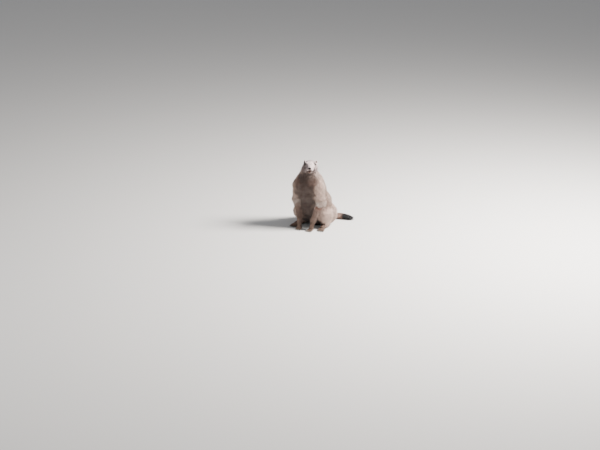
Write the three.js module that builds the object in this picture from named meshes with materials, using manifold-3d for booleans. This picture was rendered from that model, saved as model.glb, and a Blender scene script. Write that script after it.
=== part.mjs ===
// An alpine marmot, life size, sitting up on its haunches with its forepaws down, as a still model.
// Millimetres, +Z up. The animal faces -Y and its left side is +X. It sits on the floor, z = 0.
// The body is one smooth field of blended flesh masses, parted into its named pieces by thin cuts.
import * as THREE from "three";
import { mergeVertices } from "three/addons/utils/BufferGeometryUtils.js";
import Module from "manifold-3d";

const wasm = await Module();
wasm.setup();

// Driving sizes
const GAP = 0.34; // between touching pieces
const SMOOTH = 2.5; // how far a flesh mass's facets may lie from its smooth form
const FINISH = 0.13; // how far a cut piece's facets may be moved to tidy its edges
const HEAD_PLACE = [27, -48, 408]; // midpoint between the eyes, in the body's frame
const HEAD_YAW = 27; // degrees, the head turned to its left
const HEAD_PITCH = 6; // degrees, the muzzle raised
const EYE_RADIUS = 8;
const LID = 2; // thickness over the eyeball
const EYE_OPENING = [6.3, 4.6]; // half its width and half its height
const EYE_PLACE = [27, -2, 0]; // left eye, in the head's frame
const EYE_AXIS = [0.84, -0.48, 0.22]; // the way the left eye looks
const CLAW_LENGTH = { fore: 13, hind: 11 };

// Vectors
const plus = (a, b, k = 1) => [a[0] + k * b[0], a[1] + k * b[1], a[2] + k * b[2]];
const minus = (a, b) => [a[0] - b[0], a[1] - b[1], a[2] - b[2]];
const times = (a, k) => [a[0] * k, a[1] * k, a[2] * k];
const dot = (a, b) => a[0] * b[0] + a[1] * b[1] + a[2] * b[2];
const cross = (a, b) => [a[1] * b[2] - a[2] * b[1], a[2] * b[0] - a[0] * b[2], a[0] * b[1] - a[1] * b[0]];
const size = (a) => Math.hypot(...a);
const unit = (a) => times(a, 1 / (size(a) || 1));
const between = (a, b, t) => plus(times(a, 1 - t), b, t);
const mirrored = (a, side) => [a[0] * side, a[1], a[2]];
const clamp01 = (t) => Math.min(1, Math.max(0, t));
const smoothstep = (low, high, t) => {
  const s = clamp01((t - low) / (high - low));
  return s * s * (3 - 2 * s);
};

// Signed distances of the flesh masses. A field takes a point and is negative inside.
function ball(centre, radii) {
  return (p) => {
    const d = minus(p, centre);
    const near = Math.hypot(d[0] / radii[0], d[1] / radii[1], d[2] / radii[2]);
    const slope = Math.hypot(d[0] / radii[0] ** 2, d[1] / radii[1] ** 2, d[2] / radii[2] ** 2);
    return slope < 1e-9 ? -Math.min(...radii) : (near * (near - 1)) / slope;
  };
}

// A limb's length, round in section, from radius ra at a to rb at b.
function cone(a, b, ra, rb) {
  const along = minus(b, a);
  const length2 = dot(along, along);
  const taper = ra - rb;
  const slant2 = length2 - taper * taper;
  return (p) => {
    const from = minus(p, a);
    const y = dot(from, along);
    const z = y - length2;
    const side = minus(times(from, length2), times(along, y));
    const x2 = dot(side, side);
    const y2 = y * y * length2;
    const z2 = z * z * length2;
    const k = Math.sign(taper) * taper * taper * x2;
    if (Math.sign(z) * slant2 * z2 > k) return Math.sqrt(x2 + z2) / length2 - rb;
    if (Math.sign(y) * slant2 * y2 < k) return Math.sqrt(x2 + y2) / length2 - ra;
    return (Math.sqrt((x2 * slant2) / length2) + y * taper) / length2 - ra;
  };
}

// The smaller of two distances, rounded where they are within k of each other.
function blend(a, b, k) {
  const h = Math.max(k - Math.abs(a - b), 0) / k;
  return Math.min(a, b) - h * h * k * 0.25;
}

const joined = (fields, k) => (p) => fields.reduce((d, f) => blend(d, f(p), k), 1e3);

// A chain of cones through points with a radius at each.
const chain = (points, radii, k) =>
  joined(
    points.slice(1).map((b, i) => cone(points[i], b, radii[i], radii[i + 1])),
    k,
  );

// The trunk, from the rump on the floor up to the nape, leaning forward as it rises
const TRUNK = [
  ball([0, 92, 76], [94, 82, 80]), // rump
  ball([0, 58, 146], [103, 94, 96]), // belly
  ball([0, 21, 232], [88, 84, 86]), // chest
  ball([-2, -8, 288], [80, 62, 54]), // breast and shoulders
];
const trunkField = joined(TRUNK, 30);
const neckField = cone([-5, 4, 292], [1, -17, 352], 69, 49);

// Left limbs: joints from the root down, with a radius at each. The right ones are their mirror images.
const ARM = {
  joints: [
    [60, -23, 262],
    [83, -13, 178],
    [47, -42, 66],
    [40, -57, 12],
  ],
  radii: [40, 26, 14.5, 12.5],
};
const THIGH = {
  joints: [
    [55, 100, 72],
    [81, 33, 84],
    [82, 48, 30],
  ],
  radii: [65, 40, 27],
};
const FOOT = {
  joints: [
    [82, 42, 15],
    [90, -10, 12],
  ],
  radii: [16, 14],
};
// Toe rows: knuckle and tip of the middle toe, the spread at each, and how many toes
const FORE_TOES = {
  knuckle: [40, -60, 10],
  tip: [37, -81, 4],
  spread: [6.6, 9],
  radii: [6.2, 4.4],
  count: 4,
};
const HIND_TOES = {
  knuckle: [90, -16, 9],
  tip: [94, -42, 4.2],
  spread: [6.4, 8.6],
  radii: [6.6, 4.6],
  count: 5,
};

const limb = ({ joints, radii }, side, k) =>
  chain(
    joints.map((j) => mirrored(j, side)),
    radii,
    k,
  );
const armFields = [1, -1].map((side) => limb(ARM, side, 12));
const thighFields = [1, -1].map((side) => limb(THIGH, side, 20));
const footFields = [1, -1].map((side) => limb(FOOT, side, 6));

// The tail leaves the rump, and lies on the floor in a curve to the animal's left.
const TAIL = {
  joints: [
    [0, 146, 50],
    [6, 182, 32],
    [24, 208, 23],
    [52, 226, 20.5],
    [82, 236, 20],
    [108, 242, 18],
    [126, 245, 16],
  ],
  radii: [27, 18, 12.5, 11.5, 11, 9, 5],
};
const HAIR_RADIUS = 22; // out to the tips of the tail's hair
const BLACK_FROM = 0.8; // along the tail's line, where its hair turns black
const tailField = chain(TAIL.joints, TAIL.radii, 8);

// The head in its own frame: origin between the eyes, facing -Y, +Z up
const headMasses = [
  ball([0, 34, -11], [38, 46, 28.5]), // skull
  ball([0, 6, 0], [32.5, 26, 16]), // brow
  ball([25, 14, -25], [19.5, 30, 24]), // cheeks
  ball([-25, 14, -25], [19.5, 30, 24]),
];
const muzzleMasses = [
  cone([0, -4, -15], [0, -30, -20.5], 25, 16.5), // bridge
  ball([9.5, -33, -26], [12, 13.5, 11]), // whisker pads
  ball([-9.5, -33, -26], [12, 13.5, 11]),
];
const jawField = cone([0, -25, -40.5], [0, 16, -41], 10.5, 19);
const lidMasses = [1, -1].map((side) => ball(mirrored(EYE_PLACE, side), Array(3).fill(EYE_RADIUS + LID)));
const skullField = (p) => blend(joined(headMasses, 11)(p), Math.min(lidMasses[0](p), lidMasses[1](p)), 7);
const bridgeField = joined(muzzleMasses, 5);
const headField = (p) => {
  const width = 2.5 + 0.3 * Math.max(p[1] + 18, 0);
  return blend(blend(skullField(p), bridgeField(p), 10), jawField(p), width);
};

// The head's frame set in the body's
const headGroup = new THREE.Group();
headGroup.position.set(...HEAD_PLACE);
headGroup.rotation.set(THREE.MathUtils.degToRad(-HEAD_PITCH), 0, THREE.MathUtils.degToRad(HEAD_YAW), "ZXY");
headGroup.updateMatrix();
const toBody = headGroup.matrix.clone();
const toHead = toBody.clone().invert();
const moved = (matrix, p) => new THREE.Vector3(...p).applyMatrix4(matrix).toArray();
const turned = (matrix, v) => new THREE.Vector3(...v).transformDirection(matrix).toArray();

// The whole animal in the body's frame
function wholeField(p) {
  let d = blend(trunkField(p), neckField(p), 34);
  d = blend(d, headField(moved(toHead, p)), 22);
  d = blend(d, tailField(p), 14);
  const armBlend = 5 + 17 * smoothstep(110, 220, p[2]);
  for (const i of [0, 1]) {
    d = blend(d, thighFields[i](p), 30);
    d = blend(d, footFields[i](p), 6);
    d = blend(d, armFields[i](p), armBlend);
  }
  return d;
}
const wholeInHead = (p) => wholeField(moved(toBody, p));

// The point where a line from inside leaves a field's surface, within reach
function surfaceFrom(field, origin, way, reach) {
  let near = 0;
  let far = reach;
  for (let n = 0; n < 24; n++) {
    const mid = (near + far) / 2;
    if (field(plus(origin, way, mid)) < 0) near = mid;
    else far = mid;
  }
  return plus(origin, way, near);
}

// Meshes as manifold-3d solids
function solidOf(positions, triangles) {
  return new wasm.Manifold(
    new wasm.Mesh({
      numProp: 3,
      vertProperties: new Float32Array(positions),
      triVerts: new Uint32Array(triangles),
    }),
  );
}

function solidOfGeometry(geometry) {
  const bare = geometry.clone();
  bare.deleteAttribute("normal");
  bare.deleteAttribute("uv");
  const merged = mergeVertices(bare, 1e-4);
  return solidOf(merged.attributes.position.array, merged.index.array);
}

function geometryOf(solid) {
  const mesh = solid.getMesh();
  const geometry = new THREE.BufferGeometry();
  geometry.setAttribute("position", new THREE.BufferAttribute(new Float32Array(mesh.vertProperties), 3));
  geometry.setIndex(new THREE.BufferAttribute(new Uint32Array(mesh.triVerts), 1));
  return geometry.toNonIndexed();
}

// A solid set in another frame
function placed(solid, matrix) {
  const geometry = geometryOf(solid).applyMatrix4(matrix);
  return solidOfGeometry(geometry);
}

// The closed surface on which a field is zero, inside a box: one point in each cell that the surface
// crosses, pulled onto the surface, and one four-sided face round each grid edge that it crosses.
function levelSurface(field, low, high, cell) {
  const counts = low.map((l, a) => Math.ceil((high[a] - l) / cell) + 3);
  const [nx, ny, nz] = counts;
  const corner = (i, j, k) => [low[0] + (i - 1) * cell, low[1] + (j - 1) * cell, low[2] + (k - 1) * cell];
  const inBox = (p) => Math.max(...p.map((v, a) => Math.max(low[a] - v, v - high[a])));
  const clipped = (p) => Math.max(field(p), inBox(p));
  const at = (i, j, k) => (i * ny + j) * nz + k;
  const value = new Float64Array(nx * ny * nz);
  for (let i = 0; i < nx; i++)
    for (let j = 0; j < ny; j++)
      for (let k = 0; k < nz; k++) value[at(i, j, k)] = clipped(corner(i, j, k)) || 1e-6;

  const positions = [];
  const pointOf = new Int32Array(nx * ny * nz).fill(-1);
  const corners = [0, 1, 2, 3, 4, 5, 6, 7].map((c) => [c & 1, (c >> 1) & 1, (c >> 2) & 1]);
  const edges = corners.flatMap((c, m) => [1, 2, 4].filter((bit) => !(m & bit)).map((bit) => [m, m | bit]));
  const pull = (start) => {
    let p = start;
    for (let step = 0; step < 2; step++) {
      const h = cell * 0.05;
      const d = clipped(p);
      const slope = [0, 1, 2].map((a) => {
        const e = [0, 0, 0];
        e[a] = h;
        return (clipped(plus(p, e)) - clipped(minus(p, e))) / (2 * h);
      });
      const shift = plus([0, 0, 0], slope, -d / Math.max(dot(slope, slope), 0.2));
      p = plus(p, shift, Math.min(1, (cell * 0.3) / (size(shift) || 1)));
    }
    return p;
  };
  for (let i = 0; i < nx - 1; i++)
    for (let j = 0; j < ny - 1; j++)
      for (let k = 0; k < nz - 1; k++) {
        const v = corners.map(([a, b, c]) => value[at(i + a, j + b, k + c)]);
        if (v.every((x) => x > 0) || v.every((x) => x < 0)) continue;
        let sum = [0, 0, 0];
        let found = 0;
        for (const [m, n] of edges) {
          if (v[m] > 0 === v[n] > 0) continue;
          const t = v[m] / (v[m] - v[n]);
          const from = corners[m];
          const to = corners[n];
          sum = plus(sum, plus([i, j, k], between(from, to, t)));
          found += 1;
        }
        const middle = times(sum, 1 / found);
        pointOf[at(i, j, k)] = positions.length / 3;
        positions.push(...pull(corner(...middle)));
      }

  const triangles = [];
  const point = (n) => positions.slice(3 * n, 3 * n + 3);
  const addFace = (a, b, c, d, flip) => {
    const [p, q, r, s] = flip ? [d, c, b, a] : [a, b, c, d];
    if (size(minus(point(p), point(r))) < size(minus(point(q), point(s)))) triangles.push(p, q, r, p, r, s);
    else triangles.push(q, r, s, q, s, p);
  };
  for (let i = 1; i < nx - 1; i++)
    for (let j = 1; j < ny - 1; j++)
      for (let k = 1; k < nz - 1; k++) {
        const inside = value[at(i, j, k)] < 0;
        const cells = (list) => list.map(([a, b, c]) => pointOf[at(i + a, j + b, k + c)]);
        if (inside !== value[at(i + 1, j, k)] < 0)
          addFace(...cells([[0, -1, -1], [0, 0, -1], [0, 0, 0], [0, -1, 0]]), !inside);
        if (inside !== value[at(i, j + 1, k)] < 0)
          addFace(...cells([[-1, 0, -1], [-1, 0, 0], [0, 0, 0], [0, 0, -1]]), !inside);
        if (inside !== value[at(i, j, k + 1)] < 0)
          addFace(...cells([[-1, -1, 0], [0, -1, 0], [0, 0, 0], [-1, 0, 0]]), !inside);
      }
  return solidOf(positions, triangles);
}

// A solid with its short and nearly flat edges closed up: each pass takes the edges in order of how far
// the merged corner would lie from the planes that met there, and leaves out those past the tolerance.
function thinned(solid, tolerance) {
  const mesh = solid.getMesh();
  const positions = Array.from({ length: mesh.numVert }, (_, v) =>
    Array.from(mesh.vertProperties.subarray(v * mesh.numProp, v * mesh.numProp + 3)),
  );
  const corners = (t) => Array.from(mesh.triVerts.subarray(3 * t, 3 * t + 3));
  let faces = Array.from({ length: mesh.numTri }, (_, t) => corners(t));
  const planes = positions.map(() => new Float64Array(10));
  const normalOf = ([a, b, c]) => cross(minus(b, a), minus(c, a));
  for (const face of faces) {
    const corners = face.map((v) => positions[v]);
    const n = unit(normalOf(corners));
    const d = -dot(n, corners[0]);
    const terms = [n[0] * n[0], n[0] * n[1], n[0] * n[2], n[1] * n[1], n[1] * n[2], n[2] * n[2]];
    terms.push(n[0] * d, n[1] * d, n[2] * d, d * d);
    for (const v of face) terms.forEach((term, i) => (planes[v][i] += term));
  }
  const error = (q, [x, y, z]) =>
    q[0] * x * x + q[3] * y * y + q[5] * z * z + q[9] + 2 * (q[1] * x * y + q[2] * x * z + q[4] * y * z) +
    2 * (q[6] * x + q[7] * y + q[8] * z);
  // The merged corner: where the planes' distances are least, held weakly to the edge's middle
  const mergedCorner = (q, middle) => {
    const w = 0.02;
    const rows = [
      [q[0] + w, q[1], q[2]],
      [q[1], q[3] + w, q[4]],
      [q[2], q[4], q[5] + w],
    ];
    const right = [0, 1, 2].map((i) => w * middle[i] - q[6 + i]);
    const yz = cross(rows[1], rows[2]);
    const scale = 1 / dot(rows[0], yz);
    const zx = cross(rows[2], rows[0]);
    const xy = cross(rows[0], rows[1]);
    return plus(plus(times(yz, right[0]), zx, right[1]), xy, right[2]).map((v) => v * scale);
  };
  for (let pass = 0; pass < 40; pass++) {
    const around = positions.map(() => []);
    faces.forEach((face, f) => face.forEach((v) => around[v].push(f)));
    const edges = [];
    for (const [a, b, c] of faces)
      for (const [v, w] of [[a, b], [b, c], [c, a]]) {
        if (v > w) continue;
        const q = planes[v].map((term, i) => term + planes[w][i]);
        const place = mergedCorner(q, between(positions[v], positions[w], 0.5));
        const cost = Math.sqrt(Math.max(0, error(q, place)));
        if (cost < tolerance) edges.push({ v, w, q, place, cost });
      }
    edges.sort((a, b) => a.cost - b.cost);
    const busy = new Uint8Array(positions.length);
    const becomes = new Map();
    for (const { v, w, q, place } of edges) {
      const ring = new Set([...around[v], ...around[w]].flatMap((f) => faces[f]));
      if ([...ring].some((n) => busy[n])) continue;
      const beside = (n) => new Set(around[n].flatMap((f) => faces[f]));
      const besideW = beside(w);
      if ([...beside(v)].filter((n) => besideW.has(n)).length !== 4) continue;
      const shared = (f) => faces[f].includes(v) && faces[f].includes(w);
      const kept = [...around[v], ...around[w]].filter((f) => !shared(f));
      const turnsOver = kept.some((f) => {
        const was = normalOf(faces[f].map((n) => positions[n]));
        const now = normalOf(faces[f].map((n) => (n === v || n === w ? place : positions[n])));
        return dot(was, now) < 0.5 * size(was) * size(now) || size(now) < 1e-6;
      });
      if (turnsOver) continue;
      positions[v] = place;
      planes[v] = q;
      becomes.set(w, v);
      for (const n of ring) busy[n] = 1;
    }
    if (becomes.size === 0) break;
    faces = faces
      .map((face) => face.map((v) => becomes.get(v) ?? v))
      .filter(([a, b, c]) => a !== b && b !== c && c !== a);
  }
  const used = [...new Set(faces.flat())];
  const order = new Map(used.map((v, i) => [v, i]));
  return solidOf(used.flatMap((v) => positions[v]), faces.flat().map((v) => order.get(v)));
}

// A solid with each corner moved out along its normal.
function grown(solid, distance) {
  const mesh = solid.getMesh();
  const n = mesh.numProp;
  const normals = new Float64Array(mesh.numVert * 3);
  const at = (v) => Array.from(mesh.vertProperties.subarray(v * n, v * n + 3));
  for (let t = 0; t < mesh.triVerts.length; t += 3) {
    const [a, b, c] = mesh.triVerts.subarray(t, t + 3);
    const normal = cross(minus(at(b), at(a)), minus(at(c), at(a)));
    for (const v of [a, b, c]) for (let i = 0; i < 3; i++) normals[3 * v + i] += normal[i];
  }
  const positions = [];
  for (let v = 0; v < mesh.numVert; v++)
    positions.push(...plus(at(v), unit(Array.from(normals.subarray(3 * v, 3 * v + 3))), distance));
  return solidOf(positions, mesh.triVerts);
}

// A closed tube along points, with a radius at each. A zero radius at an end closes it in a tip.
// flat squeezes the section along the side named by flatWay. A looped tube joins its own start.
function tube(points, radii, sides, { flat = 1, flatWay = [0, 0, 1], looped = false } = {}) {
  const positions = [];
  const triangles = [];
  const last = points.length - 1;
  const rings = [];
  points.forEach((p, i) => {
    if (!looped && radii[i] === 0) {
      rings.push(null);
      return;
    }
    const before = points[looped ? (i + last) % (last + 1) : Math.max(0, i - 1)];
    const after = points[looped ? (i + 1) % (last + 1) : Math.min(last, i + 1)];
    const along = unit(minus(after, before));
    const wide = unit(cross(along, flatWay));
    const thin = cross(wide, along);
    rings.push(positions.length / 3);
    for (let s = 0; s < sides; s++) {
      const a = (2 * Math.PI * s) / sides;
      const out = plus(times(wide, Math.cos(a) * radii[i]), thin, Math.sin(a) * radii[i] * flat);
      positions.push(...plus(p, out));
    }
  });
  const bridge = (from, to) => {
    for (let s = 0; s < sides; s++) {
      const t = (s + 1) % sides;
      triangles.push(from + s, from + t, to + s, from + t, to + t, to + s);
    }
  };
  const close = (ring, tip, atEnd) => {
    const centre = positions.length / 3;
    positions.push(...tip);
    for (let s = 0; s < sides; s++) {
      const t = (s + 1) % sides;
      if (atEnd) triangles.push(ring + s, ring + t, centre);
      else triangles.push(ring + t, ring + s, centre);
    }
  };
  for (let i = 0; i < last; i++) {
    if (rings[i] !== null && rings[i + 1] !== null) bridge(rings[i], rings[i + 1]);
  }
  if (looped) bridge(rings[last], rings[0]);
  else {
    const head = rings[0] === null ? rings[1] : rings[0];
    close(head, points[0], false);
    const tail = rings[last] === null ? rings[last - 1] : rings[last];
    close(tail, points[last], true);
  }
  const made = solidOf(positions, triangles);
  return made.volume() < 0 ? solidOf(positions, triangles.reverse()) : made;
}

// The piece of a solid on the side of a plane that its normal points to, less half the gap.
const above = (solid, { point, normal }) => solid.trimByPlane(normal, dot(normal, point) + GAP / 2);
const below = (solid, { point, normal }) => solid.trimByPlane(times(normal, -1), -dot(normal, point) + GAP / 2);
const onFloor = (solid) => solid.trimByPlane([0, 0, 1], 0);
const largest = (solid) => solid.decompose().sort((a, b) => b.volume() - a.volume())[0];

// Even, repeatable chance between 0 and 1
function seeded(start) {
  let state = start;
  return () => {
    state = (state * 1664525 + 1013904223) % 4294967296;
    return state / 4294967296;
  };
}

// A lock of hair: flat and tapered, its root sunk in, lying the way named and bending out from the skin
function lock({ root, lie, out, length, width, lift }) {
  const points = [0, 0.32, 0.7, 1].map((t) => {
    const rise = lift * (1 - (1 - t) ** 2) - 3.5 * (1 - t) ** 3;
    return plus(plus(root, lie, length * t), out, rise);
  });
  const radii = [0.42, 0.5, 0.33, 0].map((r) => r * width);
  return tube(points, radii, 4, { flat: 0.55, flatWay: out });
}

// A piece with locks added, after these are cut back from the pieces beside it
function dress(name, locks, beside) {
  const piece = pieces.get(name);
  const others = beside.map((other) => {
    const { solid, parent } = pieces.get(other);
    const wider = grown(solid, 3.5 * GAP);
    if (parent === piece.parent) return wider;
    return placed(wider, piece.parent === group ? toBody : toHead);
  });
  const trimmed = wasm.Manifold.difference([wasm.Manifold.union(locks), ...others]);
  piece.solid = largest(piece.solid.add(trimmed));
}

// Planes that part the body, in the body's frame
const headCut = { point: moved(toBody, [0, 40, -27]), normal: turned(toBody, unit([0, -0.67, 0.74])) };
const muzzleCut = { point: [0, -15, 0], normal: [0, -1, 0] }; // in the head's frame
const NECK_CUT = { point: [0, -6, 303], normal: unit([0, -0.34, 0.94]) };
const CHEST_CUT = { point: [0, 36, 206], normal: unit([0, -0.42, 0.91]) };
const BELLY_CUT = { point: [0, 70, 116], normal: unit([0, -0.32, 0.95]) };
const wristCut = (side) => ({
  point: mirrored(between(ARM.joints[1], ARM.joints[2], 0.93), side),
  normal: [0, 0, -1],
});
const elbowCut = (side) => ({
  point: mirrored(plus(ARM.joints[1], [0, 0, -14]), side),
  normal: unit(mirrored(minus(ARM.joints[2], ARM.joints[0]), side)),
});
const tailLine = new THREE.CatmullRomCurve3(TAIL.joints.map((j) => new THREE.Vector3(...j)));
const tailCut = {
  point: tailLine.getPointAt(BLACK_FROM).toArray(),
  normal: tailLine.getTangentAt(BLACK_FROM).toArray(),
};

// Cutters: each limb's own form a little larger, with its inner side cut off flat
function limbCutter(field, level, low, high, cell, side, inner) {
  const form = thinned(levelSurface((p) => field(p) - level, low, high, cell), SMOOTH);
  const trimmed = (solid, slack) => solid.trimByPlane([side, 0, 0], inner - slack);
  return { limb: trimmed(form, 0), socket: trimmed(grown(form, GAP), GAP) };
}
const sided = (side, low, high) => [
  [Math.min(side * low[0], side * high[0]), low[1], low[2]],
  [Math.max(side * low[0], side * high[0]), high[1], high[2]],
];

const fleshIn = (low, high, cell) => thinned(levelSurface(wholeField, low, high, cell), SMOOTH);

const group = new THREE.Group();
const looks = {
  coat: { color: 0xb89b86, roughness: 0.95 },
  flank: { color: 0xc2a48d, roughness: 0.95 },
  breast: { color: 0x8d7462, roughness: 0.95 },
  face: { color: 0xa89a94, roughness: 0.95 },
  tailTip: { color: 0x2c2a2f, roughness: 0.9 },
  foot: { color: 0x9a7f6b, roughness: 0.9 },
  nose: { color: 0x1d171b, roughness: 0.55 },
  eye: { color: 0x120c0a, roughness: 0.08 },
  claw: { color: 0x2b2522, roughness: 0.45 },
};

// The named pieces, each as a solid in the frame of its parent group
const pieces = new Map();
function addPiece(name, look, solid, parent = group) {
  pieces.set(name, { look, parent, solid: thinned(largest(solid), FINISH) });
}

// Toes of one foot: tapered, bent a little at the knuckle, their tips resting on the floor
function toes({ knuckle, tip, spread, radii, count }, side) {
  return Array.from({ length: count }, (_, i) => {
    const off = i - (count - 1) / 2;
    const back = Math.abs(off) * 2.6;
    const base = mirrored(plus(knuckle, [off * spread[0], back * 0.6, 0]), side);
    const end = mirrored(plus(tip, [off * spread[1], back, 0]), side);
    const bend = plus(between(base, end, 0.55), [0, 0, 2]);
    const ahead = unit(minus(end, bend));
    const points = [plus(base, ahead, -3), bend, end, plus(end, ahead, radii[1] * 0.9)];
    return { points, ahead, end, radii: [radii[0], (radii[0] + radii[1]) / 2, radii[1], 0] };
  });
}

// A claw: a curved, tapering spike from inside the toe's tip, forward and down to the floor
function clawPoints({ end, ahead }, length) {
  const flat = unit([ahead[0], ahead[1], 0]);
  const root = plus(end, [0, 0, 1.6]);
  return [0, 0.35, 0.7, 1].map((t) => {
    const out = plus(root, flat, t * (length + 2));
    return [out[0], out[1], root[2] + 1.5 * t - 5.2 * t * t];
  });
}

function addFoot(name, look, flesh, row, side, clawLength) {
  const made = toes(row, side);
  const toeSolids = made.map(({ points, radii }) => tube(points, radii, 7));
  const foot = wasm.Manifold.union([flesh, ...toeSolids]);
  const claws = made.map((toe) => tube(clawPoints(toe, clawLength), [2.3, 2, 1.3, 0], 5, { flat: 1.15 }));
  const beds = claws.map((claw) => grown(claw, GAP));
  addPiece(name, look, wasm.Manifold.difference([foot, ...beds]));
  claws.forEach((claw, i) => addPiece(`${name}_claw_${i + 1}`, "claw", claw));
}

// Limbs
const sockets = [];
for (const side of [1, -1]) {
  const label = side > 0 ? "left" : "right";
  const i = side > 0 ? 0 : 1;
  const footBox = sided(side, [60, -34, -6], [114, 66, 34]);
  const foot = limbCutter(footFields[i], 2.5, ...footBox, 6, side, 0);
  const footFlesh = fleshIn(...footBox, 6).intersect(foot.limb);
  addFoot(`hind_foot_${label}`, "foot", footFlesh, HIND_TOES, side, CLAW_LENGTH.hind);

  const armBox = sided(side, [14, -86, -6], [124, 40, 306]);
  const arm = limbCutter(armFields[i], 6, ...armBox, 8, side, 30);
  const armFlesh = (low, high, cell) => fleshIn(...sided(side, low, high), cell).intersect(arm.limb);
  const upper = armFlesh([14, -86, 130], [124, 40, 306], 8);
  addPiece(`upper_arm_${label}`, "flank", below(upper, elbowCut(side)));
  const fore = armFlesh([14, -86, 50], [124, 40, 190], 6.5);
  addPiece(`forearm_${label}`, "breast", below(above(fore, elbowCut(side)), wristCut(side)));
  const paw = above(armFlesh([14, -86, -4], [90, -10, 90], 5), wristCut(side));
  addFoot(`forepaw_${label}`, "foot", paw, FORE_TOES, side, CLAW_LENGTH.fore);

  const thighBox = sided(side, [20, -16, -8], [140, 178, 160]);
  const thigh = limbCutter(thighFields[i], 5, ...thighBox, 10, side, 44);
  const thighFlesh = fleshIn(...thighBox, 9).intersect(thigh.limb);
  addPiece(`haunch_${label}`, "flank", wasm.Manifold.difference([thighFlesh, foot.socket, arm.socket]));
  sockets.push(foot.socket, thigh.socket, arm.socket);
}

// Tail: a slim core and rows of locks that lie back along it, in two lengths
const tailBox = [
  [-34, 120, -6],
  [190, 280, 90],
];
const tail = limbCutter(tailField, 3, ...tailBox, 8, 1, -200);
const tailCore = fleshIn(...tailBox, 7).intersect(tail.limb);
const TAIL_ROWS = 8;
const LOCKS_ROUND = 6;
const chance = seeded(11);
const tailLocks = Array.from({ length: TAIL_ROWS * LOCKS_ROUND }, (_, n) => {
  const row = Math.floor(n / LOCKS_ROUND);
  const t = 0.2 + (0.79 * (row + 0.4 * chance())) / (TAIL_ROWS - 0.6);
  const along = tailLine.getTangentAt(t).toArray();
  const wide = unit(cross(along, [0, 0, 1]));
  const angle = (2 * Math.PI * (n + 0.5 * (row % 2) + 0.3 * chance())) / LOCKS_ROUND;
  const out = plus(times(wide, Math.cos(angle)), cross(wide, along), Math.sin(angle));
  const centre = tailLine.getPointAt(t).toArray();
  const core = surfaceFrom(wholeField, centre, out, 40);
  const reach = size(minus(core, centre));
  const length = 44 + 8 * chance();
  const lift = Math.max(4, (HAIR_RADIUS - reach) * (0.85 + 0.25 * chance()));
  return lock({ root: core, lie: along, out, length, width: 15 + 3 * chance(), lift });
});
const wholeTail = wasm.Manifold.union([tailCore, ...tailLocks]);
addPiece("tail_base", "coat", below(wholeTail, tailCut));
addPiece("tail_tip", "tailTip", above(wholeTail, tailCut));
sockets.push(tail.socket);

// Trunk and neck
const trunkBox = [
  [-128, -96, -8],
  [128, 190, 400],
];
const slab = (low, high, cell) =>
  wasm.Manifold.difference([
    fleshIn([trunkBox[0][0], trunkBox[0][1], low], [trunkBox[1][0], trunkBox[1][1], high], cell),
    ...sockets,
  ]);
addPiece("rump", "coat", below(slab(-8, 170, 11), BELLY_CUT));
addPiece("belly", "coat", below(above(slab(60, 260, 11), BELLY_CUT), CHEST_CUT));
addPiece("chest", "breast", below(above(slab(150, 340, 11), CHEST_CUT), NECK_CUT));
addPiece("neck", "coat", below(above(slab(260, 410, 9), NECK_CUT), headCut));

// Head
const eyeAxis = (side) => unit(mirrored(EYE_AXIS, side));
const eyePlace = (side) => mirrored(EYE_PLACE, side);
const sphere = (radius, across, around, place) =>
  solidOfGeometry(new THREE.SphereGeometry(radius, across, around).translate(...place));

// The opening between the lids, an upright oval prism along the way the eye looks
function eyeOpening(side) {
  const axis = eyeAxis(side);
  const start = eyePlace(side);
  const [halfWidth, halfHeight] = EYE_OPENING;
  return tube([start, plus(start, axis, 22)], [halfWidth, halfWidth], 14, { flat: halfHeight / halfWidth });
}

// The mouth: a line from one corner round under the whisker pads to the other, and the parting below the nose
const MOUTH = { origin: [0, -14, -36.5], halfAngle: 76, corner: 3, peak: 4.2, groove: 1.1, lip: 1.9 };
const mouthLine = (drop) =>
  Array.from({ length: 17 }, (_, n) => {
    const t = n / 8 - 1;
    const a = THREE.MathUtils.degToRad(MOUTH.halfAngle * t);
    const lift = MOUTH.corner * t * t + MOUTH.peak * Math.exp(-((t / 0.22) ** 2)) - drop;
    return surfaceFrom(wholeInHead, plus(MOUTH.origin, [0, 0, lift]), [Math.sin(a), -Math.cos(a), 0], 60);
  });
const endsTapered = (radius, count) =>
  Array.from({ length: count }, (_, n) => (n === 0 || n === count - 1 ? 0 : radius));
const partingLine = [-24, -27, -30, -33].map((z) => surfaceFrom(wholeInHead, [0, -14, z], [0, -1, 0], 60));

const headBox = [
  [-58, -56, -66],
  [58, 92, 44],
];
const muzzleFlesh = thinned(levelSurface(wholeInHead, [-40, -56, -66], [40, -4, 20], 3.4), SMOOTH / 3);
const skullFlesh = thinned(levelSurface(wholeInHead, headBox[0], headBox[1], 4.5), SMOOTH / 2);
const grownHead = grown(skullFlesh, GAP);
const grownMuzzle = grown(muzzleFlesh, GAP);

const lipLine = tube(mouthLine(2.6), endsTapered(MOUTH.lip, 17), 5);
const mouthGroove = tube(mouthLine(0), endsTapered(MOUTH.groove, 17), 5);
const parting = tube(partingLine, [0.8, 0.8, 0.8, 0.8], 5);

// Nose pad, with its two nostrils
const NOSE = { place: [0, -46, -18.5], radii: [9, 5, 6.4] };
const nosePad = solidOfGeometry(
  new THREE.SphereGeometry(1, 16, 10).scale(...NOSE.radii).translate(...NOSE.place),
);
const nostrils = [1, -1].map((side) => {
  const start = plus(NOSE.place, [4.2 * side, -6.5, -0.6]);
  return tube([start, plus(start, [0.8 * side, 3, 0.2]), plus(start, [1.4 * side, 5.4, 0.4])], [1.9, 1.6, 0], 7);
});
const noseSolid = wasm.Manifold.difference([nosePad, grownMuzzle, ...nostrils]);

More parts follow.
